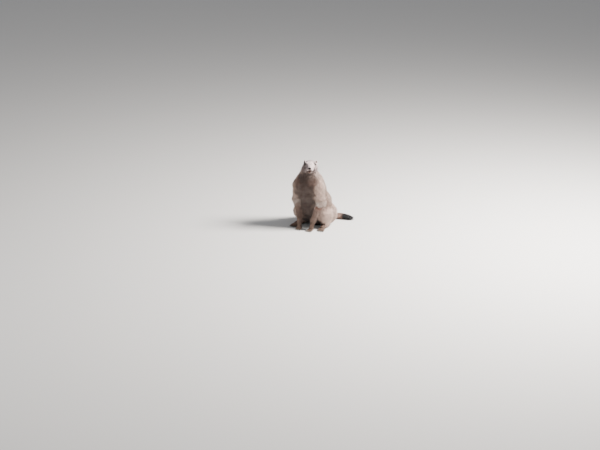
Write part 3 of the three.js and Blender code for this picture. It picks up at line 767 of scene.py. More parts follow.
@dataclass(frozen=True)
class Pelt:
    """The coat as a smooth mix of its guides, each counting for less the further its mass is.

    The mix is close near the nose, soft over the neck and body, and close again by the feet.
    """

    marmot: Marmot
    guides: tuple[Guide, ...]
    near_reach: float = 4.5
    far_reach: float = 20.0
    foot_reach: float = 7.0

    def weights(self, points: Array) -> Array:
        """Shares of the guides, e^(-distance / reach), with all of them adding up to one.

        Args:
            points: places in the body's frame, one a row.

        Returns:
            A row of shares for each place.
        """
        far = np.stack([guide.shape.distance(points) for guide in self.guides], 1)
        nose = np.linalg.norm(points - self.marmot.head.to_body(self.marmot.head.nose), axis=1)
        reach = self.near_reach + (self.far_reach - self.near_reach) * smoothstep(50, 115, nose)
        reach = np.where(points[:, 2] < 60, np.minimum(reach, self.foot_reach), reach)
        share = np.exp(-(far - far.min(1, keepdims=True)) / reach[:, None])
        return share / share.sum(1, keepdims=True)

    def shortness(self, points: Array) -> Array:
        """The share of the coat's length that is left near the eyes and the nose.

        Args:
            points: places in the body's frame.

        Returns:
            Shares from 0.35 to 1.
        """
        head = self.marmot.head
        seen = head.to_head(points)
        eye = np.linalg.norm(folded(seen) - np.array(head.eye), axis=1)
        nose = np.linalg.norm(seen - np.array(head.nose), axis=1)
        return np.minimum(0.35 + 0.65 * smoothstep(9, 25, eye), 0.6 + 0.4 * smoothstep(8, 22, nose))

    def elbow(self, points: Array) -> Array:
        """Where the fur hangs from the elbows in a longer tuft, which is also given a painted highlight.

        Args:
            points: places in the body's frame.

        Returns:
            Shares from zero to one at the tufts' middles.
        """
        joint = np.array(self.marmot.arm_joints[1])
        d = (folded(points) - joint - (-6, -4, -8)) / (36, 34, 30)
        return smoothstep(1.2, 0.45, np.linalg.norm(d, axis=1) + 0.14 * waver(points, 20, 61))

    def inset(self, points: Array) -> Array:
        """How far the skin lies inside the outer surface near each place."""
        share = self.weights(points) @ np.array([guide.coat.inset() for guide in self.guides])
        return share * self.shortness(points)

    def growth(self, points: Array) -> Growth:
        """All that the fur is at each place.

        Args:
            points: places on the skin, in the body's frame.

        Returns:
            The mixed values, with the markings and the painted light and shade in the colour.
        """
        share = self.weights(points)

        def mix(values: Sequence[float]) -> Array:
            """One number of every guide, mixed by the shares."""
            return share @ np.array(values, float)

        coats = [guide.coat for guide in self.guides]
        names = np.array([PIECES.index(guide.piece) for guide in self.guides])
        piece = names[share.argmax(1)]
        back = piece == PIECES.index(Piece.BACK_LEFT)
        piece = np.where(back & (points[:, 0] < 0), PIECES.index(Piece.BACK_RIGHT), piece)
        short = self.shortness(points)
        return Growth(
            lie=unit(share @ np.array([guide.lie for guide in self.guides])),
            length=mix([c.length for c in coats]) * short * (1 + 0.5 * self.elbow(points)),
            depth=mix([c.depth for c in coats]) * short,
            width=mix([c.width for c in coats]) * short**0.4,
            density=mix([c.density for c in coats]) / short**0.8,
            colour=self.markings_and_painted_light(points, share @ np.array([c.colour for c in coats])),
            piece=piece,
        )

    def markings_and_painted_light(self, points: Array, base: Array) -> Array:
        """The coat's markings, painted shade and painted highlight over its base colours, each a soft or
        ragged patch laid on in turn.

        The back's umber patches and the tail's black end are the fur's own. Painted shade darkens the
        breast, throat and chin over their darker fur, the neck's sides, the dark fur round the eyes, the
        lips and the rusty fur below the elbows. A painted highlight makes the elbows pale, most on the left.

        Args:
            points: places in the body's frame.
            base: the guides' mixed colours.

        Returns:
            Linear colours, one row each.
        """
        head = self.marmot.head
        seen = head.to_head(points)
        x, y, z = points.T
        colour = base.copy()

        def paint(mask: Array, shade: Point) -> None:
            """Lay a shade over the colours where the mask is one."""
            colour[:] = colour + mask[:, None] * (np.array(shade) - colour)

        # Breast and throat: darker fur, darkened further with painted shade of the front under the head.
        breast = oval(points, (-8, -70, 210), (74, 75, 155)) + 0.12 * waver(points, 24, 63)
        paint(0.9 * smoothstep(1.15, 0.75, breast) * smoothstep(0, -30, y), BREAST)
        throat = oval(points, (16, -82, 322), (64, 62, 48)) + 0.12 * waver(points, 18, 64)
        paint(0.92 * smoothstep(1.25, 0.8, throat) * smoothstep(-20, -40, y), BREAST)
        # Painted shade under the chin.
        chin = smoothstep(-33, -40, seen[:, 2]) * smoothstep(-4, -22, seen[:, 1])
        paint(0.9 * chin * smoothstep(30, 20, np.abs(seen[:, 0])), UMBER)
        back = smoothstep(372, 330, z) * smoothstep(20, 110, y)
        paint(0.5 * back * (0.5 + 0.5 * waver(points, 55, 3)), UMBER)
        # Painted highlight: the elbow tufts lit pale, more on the left side.
        paint(self.elbow(points) * np.where(x > 0, 0.85, 0.4), ELBOW_HIGHLIGHT)
        ragged = 0.16 * waver(points, 16, 62)
        for side, rust_and_shade_strength in ((1, 0.95), (-1, 0.3)):
            # Below each elbow: rusty fur darkened with painted shade of the gap between arm and thigh, more
            # on the left.
            below_elbow = mirrored(self.marmot.arm_joints[1], side) + np.array([4 * side, -14, -21])
            paint(rust_and_shade_strength * smoothstep(1.2, 0.5, oval(points, below_elbow, (33, 33, 16)) + ragged), RUST_AND_SHADE)
            # Painted shade: umber on the neck's sides under the head.
            neck = oval(points, (-42 * side, -44, 306), (34, 40, 26)) + ragged
            paint(0.5 * smoothstep(1.2, 0.4, neck), UMBER)
            # Round each eye: dark fur, deepened with painted shade of the socket.
            centre, axis, _, _ = head.eye_frame(side)
            eye = oval(seen, centre + axis * 6, (14, 17, 13)) + 0.4 * ragged
            paint(0.88 * smoothstep(1.15, 0.7, eye), DUSK)
        # Round the mouth: painted shade of the lower muzzle, darkest on the lips' own dark line.
        lips = (0, -40, -36)
        paint(0.75 * smoothstep(1.2, 0.6, oval(seen, lips, (19.5, 18.2, 11))), UMBER)
        paint(0.85 * smoothstep(1.2, 0.6, oval(seen, lips, (15, 14, 5))), BREAST)
        tail_end = smoothstep(88, 100, x + 3.5 * waver(points, 16, 8)) * smoothstep(205, 218, y)
        paint(tail_end, BLACK)
        return np.clip(colour, 0.004, 0.9)


# Meshes


def to_mesh(name: str, points: Array, faces: list[Array], shift: Array) -> bpy.types.Object:
    """A mesh object from whole arrays, in metres in the CAD frame.

    Args:
        name: the piece's name.
        points: corners in the body's frame, in millimetres.
        faces: arrays of corner numbers, each of one row length (triangles or four-sided faces).
        shift: the body's origin in the CAD frame, in millimetres.

    Returns:
        The linked object, shaded smooth.
    """
    mesh = bpy.data.meshes.new(name)
    sizes = np.concatenate([np.full(len(f), f.shape[1]) for f in faces])
    loops = np.concatenate([f.reshape(-1) for f in faces]).astype(np.int32)
    mesh.vertices.add(len(points))
    mesh.vertices.foreach_set("co", ((points + shift) * MM).astype(np.float32).reshape(-1))
    mesh.loops.add(len(loops))
    mesh.loops.foreach_set("vertex_index", loops)
    mesh.polygons.add(len(sizes))
    mesh.polygons.foreach_set("loop_start", (np.cumsum(sizes) - sizes).astype(np.int32))
    mesh.update(calc_edges=True)
    mesh.polygons.foreach_set("use_smooth", np.ones(len(sizes), bool))
    piece = bpy.data.objects.new(name, mesh)
    bpy.context.scene.collection.objects.link(piece)
    return piece


def add_colour(piece: bpy.types.Object, name: str, colour: Array) -> None:
    """Give each corner of a piece a linear colour, kept in a colour attribute.

    Args:
        piece: the mesh object.
        name: the attribute's name.
        colour: one row of red, green and blue for each corner.
    """
    rgba = np.ones((len(colour), 4), np.float32)
    rgba[:, :3] = colour
    attribute = piece.data.color_attributes.new(name, "FLOAT_COLOR", "POINT")
    attribute.data.foreach_set("color", rgba.reshape(-1))


def add_uv(piece: bpy.types.Object, uv: Array) -> None:
    """Give a piece its bake map from one place for each corner.

    Args:
        piece: the mesh object.
        uv: a row of u and v for each corner.
    """
    corners = np.empty(len(piece.data.loops), np.int32)
    piece.data.loops.foreach_get("vertex_index", corners)
    layer = piece.data.uv_layers.new(name="OFBake")
    layer.data.foreach_set("uv", uv[corners].astype(np.float32).reshape(-1))


def sweep(points: Array) -> tuple[Array, list[Array]]:
    """A tube through rings of corners, closed at both ends about a middle corner.

    Args:
        points: rings by sides by three, each ring turning the same way about the path.

    Returns:
        The corners and the faces.
    """
    rings, sides, _ = points.shape
    n = np.arange(rings * sides).reshape(rings, sides)
    after = np.roll(n, -1, axis=1)
    quads = np.stack([n[:-1], after[:-1], after[1:], n[1:]], -1).reshape(-1, 4)
    flat = points.reshape(-1, 3)
    ends = np.stack([points[0].mean(0), points[-1].mean(0)])
    first, last = len(flat), len(flat) + 1
    start = np.stack([after[0], n[0], np.full(sides, first)], 1)
    finish = np.stack([n[-1], after[-1], np.full(sides, last)], 1)
    return np.concatenate([flat, ends]), [quads, np.concatenate([start, finish])]


def tube(path: Array, radii: Array, sides: int, flat: float = 1.0, flat_way: Point = (0, 0, 1)) -> Array:
    """Rings of corners about a path: centre + r (cos a * wide + flat * sin a * thin).

    Args:
        path: the centres, one a row.
        radii: a radius for each centre.
        sides: corners in a ring.
        flat: the ring's depth along flat_way, as a share of its width.
        flat_way: the way in which that depth is measured.

    Returns:
        Rings by sides by three.
    """
    along = unit(np.gradient(path, axis=0))
    wide = unit(np.cross(along, np.array(flat_way, float)))
    thin = np.cross(wide, along)
    a = np.linspace(0, 2 * math.pi, sides, endpoint=False)[None, :, None]
    out = np.cos(a) * wide[:, None] + flat * np.sin(a) * thin[:, None]
    return path[:, None] + out * np.asarray(radii, float)[:, None, None]


def merged(parts: list[tuple[Array, list[Array]]]) -> tuple[Array, list[Array]]:
    """Several surfaces as one set of corners and faces.

    Args:
        parts: corners and faces of each surface.

    Returns:
        The corners and faces together.
    """
    points = np.concatenate([p for p, _ in parts])
    starts = np.cumsum([0] + [len(p) for p, _ in parts])
    faces = [f + start for (_, many), start in zip(parts, starts, strict=False) for f in many]
    return points, faces


@dataclass(frozen=True)
class Grid:
    """Planes across X, Y and Z, closer together where the surface has fine forms."""

    planes: tuple[Array, Array, Array]

    @classmethod
    def around(cls, whole: Box, close: Box, coarse: float, fine: float) -> "Grid":
        """A grid with two spacings.

        Args:
            whole: the grid's lowest and highest corners.
            close: where the close planes start and stop on each axis.
            coarse: the wide spacing.
            fine: the close spacing.

        Returns:
            The grid.
        """
        planes = [
            np.concatenate([np.arange(a, b, coarse), np.arange(b, c, fine), np.arange(c, d, coarse)])
            for a, b, c, d in zip(whole[0], *close, whole[1], strict=True)
        ]
        return cls(tuple(planes))

    @property
    def counts(self) -> Array:
        """How many planes there are on each axis."""
        return np.array([len(p) for p in self.planes])

    def at(self, numbers: Array) -> Array:
        """Places for whole or broken plane numbers, one a row."""
        columns = zip(numbers.T, self.planes, strict=True)
        return np.stack([np.interp(column, np.arange(len(p)), p) for column, p in columns], 1)

    def step(self, cells: Array) -> Array:
        """The smallest side of each cell."""
        return np.stack([np.diff(p)[cells[:, a]] for a, p in enumerate(self.planes)], 1).min(1)


def level_surface(distance: Field, grid: Grid) -> tuple[Array, Array]:
    """The closed surface on which a field is zero: one corner in each grid cell that it crosses.

    A corner starts at the mean of the crossings on its cell's edges and is pulled onto the surface
    along the field's slope. Each grid edge that the surface crosses gives one four-sided face.

    Args:
        distance: the field.
        grid: the planes to look between.

    Returns:
        Corners and four-sided faces, pointing out.
    """
    counts = grid.counts
    values = sampled(distance, grid)
    inside = values < 0
    steps = np.array([[(c >> a) & 1 for a in range(3)] for c in range(8)])
    views = [inside[tuple(slice(s, s + c - 1) for s, c in zip(step, counts, strict=True))] for step in steps]
    cells = np.argwhere(np.logical_or.reduce(views) & ~np.logical_and.reduce(views))
    at = values[tuple((cells[:, None] + steps[None]).transpose(2, 0, 1))]
    total, found = np.zeros((len(cells), 3)), np.zeros(len(cells))
    for m in range(8):
        for bit in (1, 2, 4):
            if m & bit:
                continue
            a, b = at[:, m], at[:, m | bit]
            crossed = (a < 0) != (b < 0)
            t = np.where(crossed, a / np.where(crossed, a - b, 1), 0)
            place = steps[m] + t[:, None] * (steps[m | bit] - steps[m])
            total += place * crossed[:, None]
            found += crossed
    points = grid.at(cells + total / found[:, None])
    limit = 0.35 * grid.step(cells)
    for _ in range(2):
        move = np.clip(distance(points), -limit, limit)
        points = points - gradient(distance, points) * move[:, None]
    number = np.full(counts, -1)
    number[tuple(cells.T)] = np.arange(len(cells))
    faces = []
    for axis in range(3):
        one, two = [a for a in range(3) if a != axis]
        ahead, back_one, back_two = np.eye(3, dtype=int)[[axis, one, two]]
        here = inside[tuple(slice(0, counts[a] - ahead[a]) for a in range(3))]
        there = inside[tuple(slice(ahead[a], counts[a]) for a in range(3))]
        edges = np.argwhere(here != there)
        around = [edges - back_one - back_two, edges - back_two, edges, edges - back_one]
        quad = np.stack([number[tuple(c.T)] for c in around], 1)
        outward = here[tuple(edges.T)] != (axis == 1)
        faces.append(np.where(outward[:, None], quad, quad[:, ::-1]))
    return points, np.concatenate(faces)


def sampled(distance: Field, grid: Grid, block: int = 16) -> Array:
    """A field's values on a grid, worked out in full only in the blocks near its surface.

    Args:
        distance: the field.
        grid: the planes.
        block: planes along a block's side.

    Returns:
        Values by X, Y and Z number.
    """
    counts = grid.counts
    values = np.empty(counts)
    starts = [np.arange(0, count, block) for count in counts]
    firsts = np.stack(np.meshgrid(*starts, indexing="ij"), -1).reshape(-1, 3)
    lasts = np.minimum(firsts + block, counts)
    low, high = grid.at(firsts), grid.at(lasts - 1)
    middles = distance((low + high) / 2)
    near = np.abs(middles) < np.linalg.norm(high - low, axis=1) * 0.7 + 14
    for first, last, middle, close in zip(firsts, lasts, middles, near, strict=True):
        spans = tuple(slice(a, b) for a, b in zip(first, last, strict=True))
        if not close:
            values[spans] = middle
            continue
        planes = [plane[span] for plane, span in zip(grid.planes, spans, strict=True)]
        places = np.stack(np.meshgrid(*planes, indexing="ij"), -1)
        values[spans] = distance(places.reshape(-1, 3)).reshape(places.shape[:3])
    return values


# Finishes


def hair_tint() -> bpy.types.NodeTree:
    """Shader group: a colour made lighter and darker from hair to hair by fine and broad noise.

    Returns:
        The node group, with inputs Colour, Amount and Size, and output Colour.
    """
    group = bpy.data.node_groups.new("hair_tint", "ShaderNodeTree")
    taken = {"Colour": "NodeSocketColor", "Amount": "NodeSocketFloat", "Size": "NodeSocketFloat"}
    for name, kind in taken.items():
        group.interface.new_socket(name, in_out="INPUT", socket_type=kind)
    group.interface.new_socket("Colour", in_out="OUTPUT", socket_type="NodeSocketColor")
    nodes, links = group.nodes, group.links
    given, made = nodes.new("NodeGroupInput"), nodes.new("NodeGroupOutput")
    place = nodes.new("ShaderNodeTexCoord")
    noise = nodes.new("ShaderNodeTexNoise")
    noise.inputs["Detail"].default_value = 3.0
    spread = nodes.new("ShaderNodeMapRange")
    spread.inputs["From Min"].default_value = 0.3
    spread.inputs["From Max"].default_value = 0.7
    spread.inputs["To Min"].default_value = -1.0
    amount = nodes.new("ShaderNodeMath")
    amount.operation = "MULTIPLY_ADD"
    amount.inputs[2].default_value = 1.0
    shade = nodes.new("ShaderNodeVectorMath")
    shade.operation = "SCALE"
    links.new(place.outputs["Object"], noise.inputs["Vector"])
    links.new(given.outputs["Size"], noise.inputs["Scale"])
    links.new(noise.outputs["Fac"], spread.inputs["Value"])
    links.new(spread.outputs["Result"], amount.inputs[0])
    links.new(given.outputs["Amount"], amount.inputs[1])
    links.new(given.outputs["Colour"], shade.inputs[0])
    links.new(amount.outputs["Value"], shade.inputs["Scale"])
    links.new(shade.outputs["Vector"], made.inputs["Colour"])
    return group


@dataclass(frozen=True)
class Finish:
    """A surface whose colour comes from the piece's own attribute."""

    name: str
    roughness: float
    tint: float = 0.0
    tint_size: float = 300.0
    sheen: float = 0.0
    specular: float = 0.5
    bump: float = 0.0
    bump_size: float = 900.0

    def material(self, group: bpy.types.NodeTree) -> bpy.types.Material:
        """The material, its colour read from the attribute "colour".

        Args:
            group: the shared tint group.

        Returns:
            The Blender material.
        """
        made = bpy.data.materials.new(self.name)
        made.use_nodes = True
        nodes, links = made.node_tree.nodes, made.node_tree.links
        shader = nodes["Principled BSDF"]
        shader.inputs["Roughness"].default_value = self.roughness
        shader.inputs["Sheen Weight"].default_value = self.sheen
        shader.inputs["Specular IOR Level"].default_value = self.specular
        colour = nodes.new("ShaderNodeAttribute")
        colour.attribute_name = "colour"
        source = colour.outputs["Color"]
        if self.tint:
            tinted = nodes.new("ShaderNodeGroup")
            tinted.node_tree = group
            tinted.inputs["Amount"].default_value = self.tint
            tinted.inputs["Size"].default_value = self.tint_size
            links.new(source, tinted.inputs["Colour"])
            source = tinted.outputs["Colour"]
        links.new(source, shader.inputs["Base Color"])
        if self.bump:
            place = nodes.new("ShaderNodeTexCoord")
            grain = nodes.new("ShaderNodeTexVoronoi")
            grain.inputs["Scale"].default_value = self.bump_size
            relief = nodes.new("ShaderNodeBump")
            relief.inputs["Strength"].default_value = self.bump
            relief.inputs["Distance"].default_value = 0.0004
            links.new(place.outputs["Object"], grain.inputs["Vector"])
            links.new(grain.outputs["Distance"], relief.inputs["Height"])
            links.new(relief.outputs["Normal"], shader.inputs["Normal"])
        return made


@dataclass
class Finishes:
    """All the materials, made once."""

    coat: bpy.types.Material
    skin: bpy.types.Material
    nose: bpy.types.Material
    eye: bpy.types.Material
    claw: bpy.types.Material

    @classmethod
    def make(cls) -> "Finishes":
        """Build the shared group and the materials.

        Returns:
            The materials.
        """
        group = hair_tint()
        return cls(
            coat=Finish("fur", 0.72, tint=0.22, tint_size=420, sheen=0.1, specular=0.3).material(group),
            skin=Finish("skin", 0.85, tint=0.25, tint_size=260, specular=0.2).material(group),
            nose=Finish("nose_leather", 0.5, specular=0.2, bump=0.5, bump_size=1400).material(group),
            eye=Finish("wet_eye", 0.06).material(group),
            claw=Finish("horn", 0.38, tint=0.2, tint_size=600).material(group),
        )


def dress(
    piece: bpy.types.Object,
    material: bpy.types.Material,
    nodes: Sequence[str] = (),
) -> None:
    """Give a piece its material, body and the CAD nodes that it stands for.

    Args:
        piece: the mesh object.
        material: its finish.
        nodes: names of CAD nodes.
    """
    piece.data.materials.append(material)
    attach(piece, "root")
    if nodes:
        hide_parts(*nodes)
    log.info("%s: %d faces", piece.name, len(piece.data.polygons))


# Skin and coat


@dataclass
class Skin:
    """The one closed skin under the coat.

    Its faces are coarse apart from a close box about the face, and its colour is the fur's own,
    darkened by underfur.
    """

    marmot: Marmot
    pelt: Pelt
    whole: Box = ((-140, -104, -6), (150, 262, 440))
    face: Box = ((-26, -100, 358), (80, 34, 432))
    coarse: float = 3.2
    fine: float = 1.7
    underfur: float = 0.42
    core: float = 8.0
    floor: float = 0.4
    points: Array = field(init=False)
    normals: Array = field(init=False)
    quads: Array = field(init=False)

    def distance(self, points: Array) -> Array:
        """Distances from the skin: the outer surface taken in by the coat's depth.

        The skin is held off the floor, and the eyes' sockets are cut out of it. Far from the surface
        the coat's depth doesn't matter, and the core's is taken.

        Args:
            points: places in the body's frame.

        Returns:
            Distances in millimetres, negative inside.
        """
        outer = self.marmot.distance(points)
        near = np.abs(outer) < 30
        inset = np.full(len(points), self.core)
        if near.any():
            inset[near] = self.pelt.inset(points[near])
        skin = np.maximum(outer + inset, self.floor - points[:, 2])
        seen = self.marmot.head.to_head(points)
        for side in (1, -1):
            skin = np.maximum(skin, -self.marmot.head.socket(seen, side))
        return skin

    def build(self, shift: Array, finishes: Finishes) -> None:
        """Make the skin and keep its corners for the fur to grow from.

        Args:
            shift: the body's origin in the CAD frame.
            finishes: the materials.
        """
        grid = Grid.around(self.whole, self.face, self.coarse, self.fine)
        self.points, self.quads = level_surface(self.distance, grid)
        self.normals = gradient(self.distance, self.points, 0.8)
        piece = to_mesh("skin", self.points, [self.quads], shift)
        add_colour(piece, "colour", self.pelt.growth(self.points).colour * self.underfur)
        nodes = ["head", "muzzle", "neck", "chest", "belly", "rump", "tail_base", "tail_tip"]
        limbs = ("upper_arm", "forearm", "forepaw", "haunch", "hind_foot")
        nodes += [f"{limb}_{label}" for _, label in SIDES for limb in limbs]
        dress(piece, finishes.skin, nodes)


@dataclass(frozen=True)
class Tufts:
    """Tufts of fur as closed, tapered spikes of three sides, straight or bent.

    The patch is a tuft's size on its piece's bake map, and sink is how far under the skin it starts.
    """

    seed: int = 5
    patch: float = 0.003
    sink: float = 1.2

    def spikes(
        self,
        root: Array,
        normal: Array,
        lie: Array,
        length: Array,
        depth: Array,
        width: Array,
        bends: int,
    ) -> tuple[Array, list[Array], Array]:
        """Corners and faces of many tufts.

        At t along a tuft its middle line is length * t along the lie, and its height over the skin
        is depth * (1 - (1 - t)^2) - sink * (1 - t). Its rings shrink towards the tip.

        Args:
            root: places on the skin.
            normal: the skin's normals there.
            lie: the way each tuft lies, square to its normal.
            length: reach along the lie.
            depth: height of the tip over the skin.
            width: width near the root.
            bends: rings between the root and the tip.

        Returns:
            Corners, faces, and each corner's place along its tuft from 0 to 1.
        """
        side = np.cross(normal, lie)
        stops = np.linspace(0, 1, bends + 2)
        rings = []
        for t, scale in zip(stops[:-1], (0.8, 0.75, 0.5), strict=False):
            rise = depth * (1 - (1 - t) ** 2) - self.sink * (1 - t)
            centre = root + lie * (length * t)[:, None] + normal * rise[:, None]
            up = unit(normal - lie * (2 * depth * (1 - t) / np.maximum(length, 1e-6))[:, None])
            rings += self.ring(centre, side, up, width * scale)
        rings.append(root + lie * length[:, None] + normal * depth[:, None])
        return self.joined(np.stack(rings, 1))

    def ring(self, centre: Array, side: Array, up: Array, width: Array) -> list[Array]:
        """Three corners about each centre, the tuft a little flatter than wide.

        Args:
            centre: middles of the rings.
            side: the way across each tuft.
            up: the way out of the skin.
            width: the rings' widths.

        Returns:
            Three arrays of corners.
        """
        turns = (math.pi / 2, math.pi * 7 / 6, math.pi * 11 / 6)
        ways = [side * math.cos(a) + up * (0.55 * math.sin(a)) for a in turns]
        return [centre + way * (width / 2)[:, None] for way in ways]

    def joined(self, points: Array) -> tuple[Array, list[Array], Array]:
        """Close tufts from their corners: rings of three from the root up, then the tip.

        Args:
            points: tufts by corners by three.

        Returns:
            Corners, faces, and each corner's place along its tuft from 0 to 1.
        """
        many, per, _ = points.shape
        rings = (per - 1) // 3
        base = np.arange(many)[:, None, None] * per
        r, s = np.meshgrid(np.arange(rings - 1), np.arange(3), indexing="ij")
        quads = np.stack([3 * r + s, 3 * r + (s + 1) % 3, 3 * r + 3 + (s + 1) % 3, 3 * r + 3 + s], -1)
        last = 3 * (rings - 1)
        tris = np.array([[last + n, last + (n + 1) % 3, per - 1] for n in range(3)] + [[2, 1, 0]])
        faces = [(base + tris).reshape(-1, 3)]
        if rings > 1:
            faces.append((base + quads.reshape(-1, 4)).reshape(-1, 4))
        along = np.append(np.repeat(np.arange(rings) / rings, 3), 1.0)
        return points.reshape(-1, 3), faces, np.tile(along, many)

    def bake_map(self, spots: Array, along: Array, per: int) -> Array:
        """Bake map of tufts: a small patch about each root's place, across by along.

        Args:
            spots: each tuft's place on the unwrapped skin.
            along: each corner's place along its tuft.
            per: corners in a tuft.

        Returns:
            A row of u and v for each corner.
        """
        across = np.tile(np.append(np.tile([0.5, 0.0, 1.0], (per - 1) // 3), 0.5), len(spots))
        return np.repeat(spots, per, axis=0) + self.patch * (np.stack([across, along], 1) - 0.5)

    def fade(self, along: Array) -> Array:
        """The hair's lightness from its dark root to its tip, 0.5 + 0.62 t^0.8, as a column."""
        return (0.5 + 0.62 * along**0.8)[:, None]


@dataclass
class Fur:
    """The whole coat, grown from the skin in joined pieces."""

    marmot: Marmot
    pelt: Pelt
    skin: Skin
    tufts: Tufts = field(default_factory=Tufts)

    def roots(self) -> tuple[Array, Array]:
        """Places on the skin for the tufts, as many to a face as its area asks.

        Returns:
            The places and the skin's normals there.
        """
        rng = np.random.default_rng(self.tufts.seed)
        corners = self.skin.points[self.skin.quads]
        normals = self.skin.normals[self.skin.quads]
        middle = corners.mean(1)
        crossed = np.cross(corners[:, 2] - corners[:, 0], corners[:, 3] - corners[:, 1])
        area = 0.5 * np.linalg.norm(crossed, axis=1)
        growth = self.pelt.growth(middle)
        wanted = area * growth.density * self.bare(middle, normals.mean(1))
        count = np.floor(wanted + rng.random(len(wanted))).astype(int)
        face = np.repeat(np.arange(len(count)), count)
        u, v = rng.random((2, len(face), 1))
        weights = [(1 - u) * (1 - v), u * (1 - v), u * v, (1 - u) * v]
        root = sum(w * corners[face, n] for n, w in enumerate(weights))
        normal = unit(sum(w * normals[face, n] for n, w in enumerate(weights)))
        return root, normal

    def bare(self, points: Array, normals: Array) -> Array:
        """One where fur grows, and zero on soles, nose, lips and round the eyes.

        Args:
            points: places on the skin.
            normals: the skin's normals there.

        Returns:
            One or zero for each place.
        """
        head = self.marmot.head
        seen = head.to_head(points)
        grows = ~((points[:, 2] < 2.5) & (normals[:, 2] < -0.3))
        grows &= oval(seen, head.nose, np.array(head.nose_radii) * 1.02) > 1
        for side in (1, -1):
            centre, axis, level, up = head.eye_frame(side)
            d = seen - centre
            rim = np.hypot(d @ level / (head.opening[0] + 1.6), d @ up / (head.opening[1] + 1.6))
            grows &= (rim > 1) | (d @ axis < 0)
        face = np.flatnonzero(np.linalg.norm(seen - np.array([0, -25, -30]), axis=1) < 45)
        for line, wide in ((self.marmot.mouth_line(1), 1.5), (self.marmot.parting(1), 1.0)):
            far = np.linalg.norm(seen[face, None] - line[None], axis=2).min(1)
            grows[face] &= far > wide
        return grows.astype(float)

    def unwrapped(self, root: Array) -> Array:
        """Each root's place on an unrolled barrel about the piece's own long axis.

        The barrel's u is the angle about the axis, and its v runs from one end's middle, down the
        side and in to the other end's middle.

        Args:
            root: the tufts' roots.

        Returns:
            A row of u and v for each root, from 0.01 to 0.99.
        """
        centre = root.mean(0)
        _, _, axes = np.linalg.svd(root[:: max(1, len(root) // 2000)] - centre, full_matrices=False)
        axis, wide, thin = axes
        d = root - centre
        along, x, y = d @ axis, d @ wide, d @ thin
        out = np.hypot(x, y)
        end = np.sign(along) * np.clip(out.max() * 0.6 - out, 0, None)
        v = along + end * np.minimum(1, np.abs(along) / (np.abs(along).max() + 1e-9))
        u = np.arctan2(y, x) / (2 * math.pi) + 0.5
        v = (v - v.min()) / (np.ptp(v) + 1e-9)
        return 0.01 + 0.98 * np.stack([u, v], 1)

    def combed(self, root: Array, normal: Array, lie: Array, rng: np.random.Generator) -> Array:
        """The way each tuft lies: its guides' way, turned in broad and narrow drifts, flat on the skin.

        Args:
            root: the tufts' roots.
            normal: the skin's normals there.
            lie: the guides' ways.
            rng: the source of chance.

        Returns:
            Unit ways, one a row.
        """
        swirl = 0.25 * waver(root, 50, 21) + 0.17 * waver(root, 17, 22)
        turned = lie + np.cross(normal, lie) * swirl[:, None] + 0.12 * rng.normal(size=root.shape)
        return flat_on(normal, turned)

    def build(self, shift: Array, finishes: Finishes) -> None:
        """Grow every piece of the coat, its tufts a mix of bent ones and slimmer straight ones.

        Args:
            shift: the body's origin in the CAD frame.
            finishes: the materials.
        """
        rng = np.random.default_rng(self.tufts.seed + 1)
        root, normal = self.roots()
        growth = self.pelt.growth(root)
        chance = rng.random((4, len(root)))
        lie = self.combed(root, normal, growth.lie, rng)
        lift = 1 + 0.14 * waver(root, 14, 31) + 0.35 * (chance[0] - 0.5)
        depth = growth.depth * np.clip(lift, 0.35, 1.2)
        length = growth.length * (0.75 + 0.5 * chance[1]) * (1 + 0.12 * waver(root, 30, 41))
        reach = np.sqrt(np.maximum(length**2 - depth**2, 0.2))
        width = growth.width * (0.8 + 0.4 * chance[2])
        tone = 1 + 0.5 * (chance[3] - 0.5) + 0.12 * waver(root, 9, 51)
        shade = growth.colour * tone[:, None]
        for number, piece in enumerate(PIECES):
            mine = growth.piece == number
            name, slot, share = piece.value
            spots = self.unwrapped(root[mine])
            bent = rng.random(int(mine.sum())) < share
            made, colours, maps = [], [], []
            for kind, bends, slim in ((bent, 1, 1.0), (~bent, 0, 0.78 if share else 1.0)):
                own = np.flatnonzero(mine)[kind]
                points, faces, along = self.tufts.spikes(
                    root[own], normal[own], lie[own], reach[own], depth[own], width[own] * slim, bends
                )
                made.append((points, faces))
                corners = 3 * bends + 4
                colours.append(np.repeat(shade[own], corners, axis=0) * self.tufts.fade(along))
                maps.append(self.tufts.bake_map(spots[kind], along, corners))
            points, faces = merged(made)
            points[:, 2] = np.maximum(points[:, 2], FLOOR_GAP)
            coat = to_mesh(name, points, faces, shift)
            add_colour(coat, "colour", np.concatenate(colours))
            add_uv(coat, np.concatenate(maps))
            dress(coat, finishes.coat)


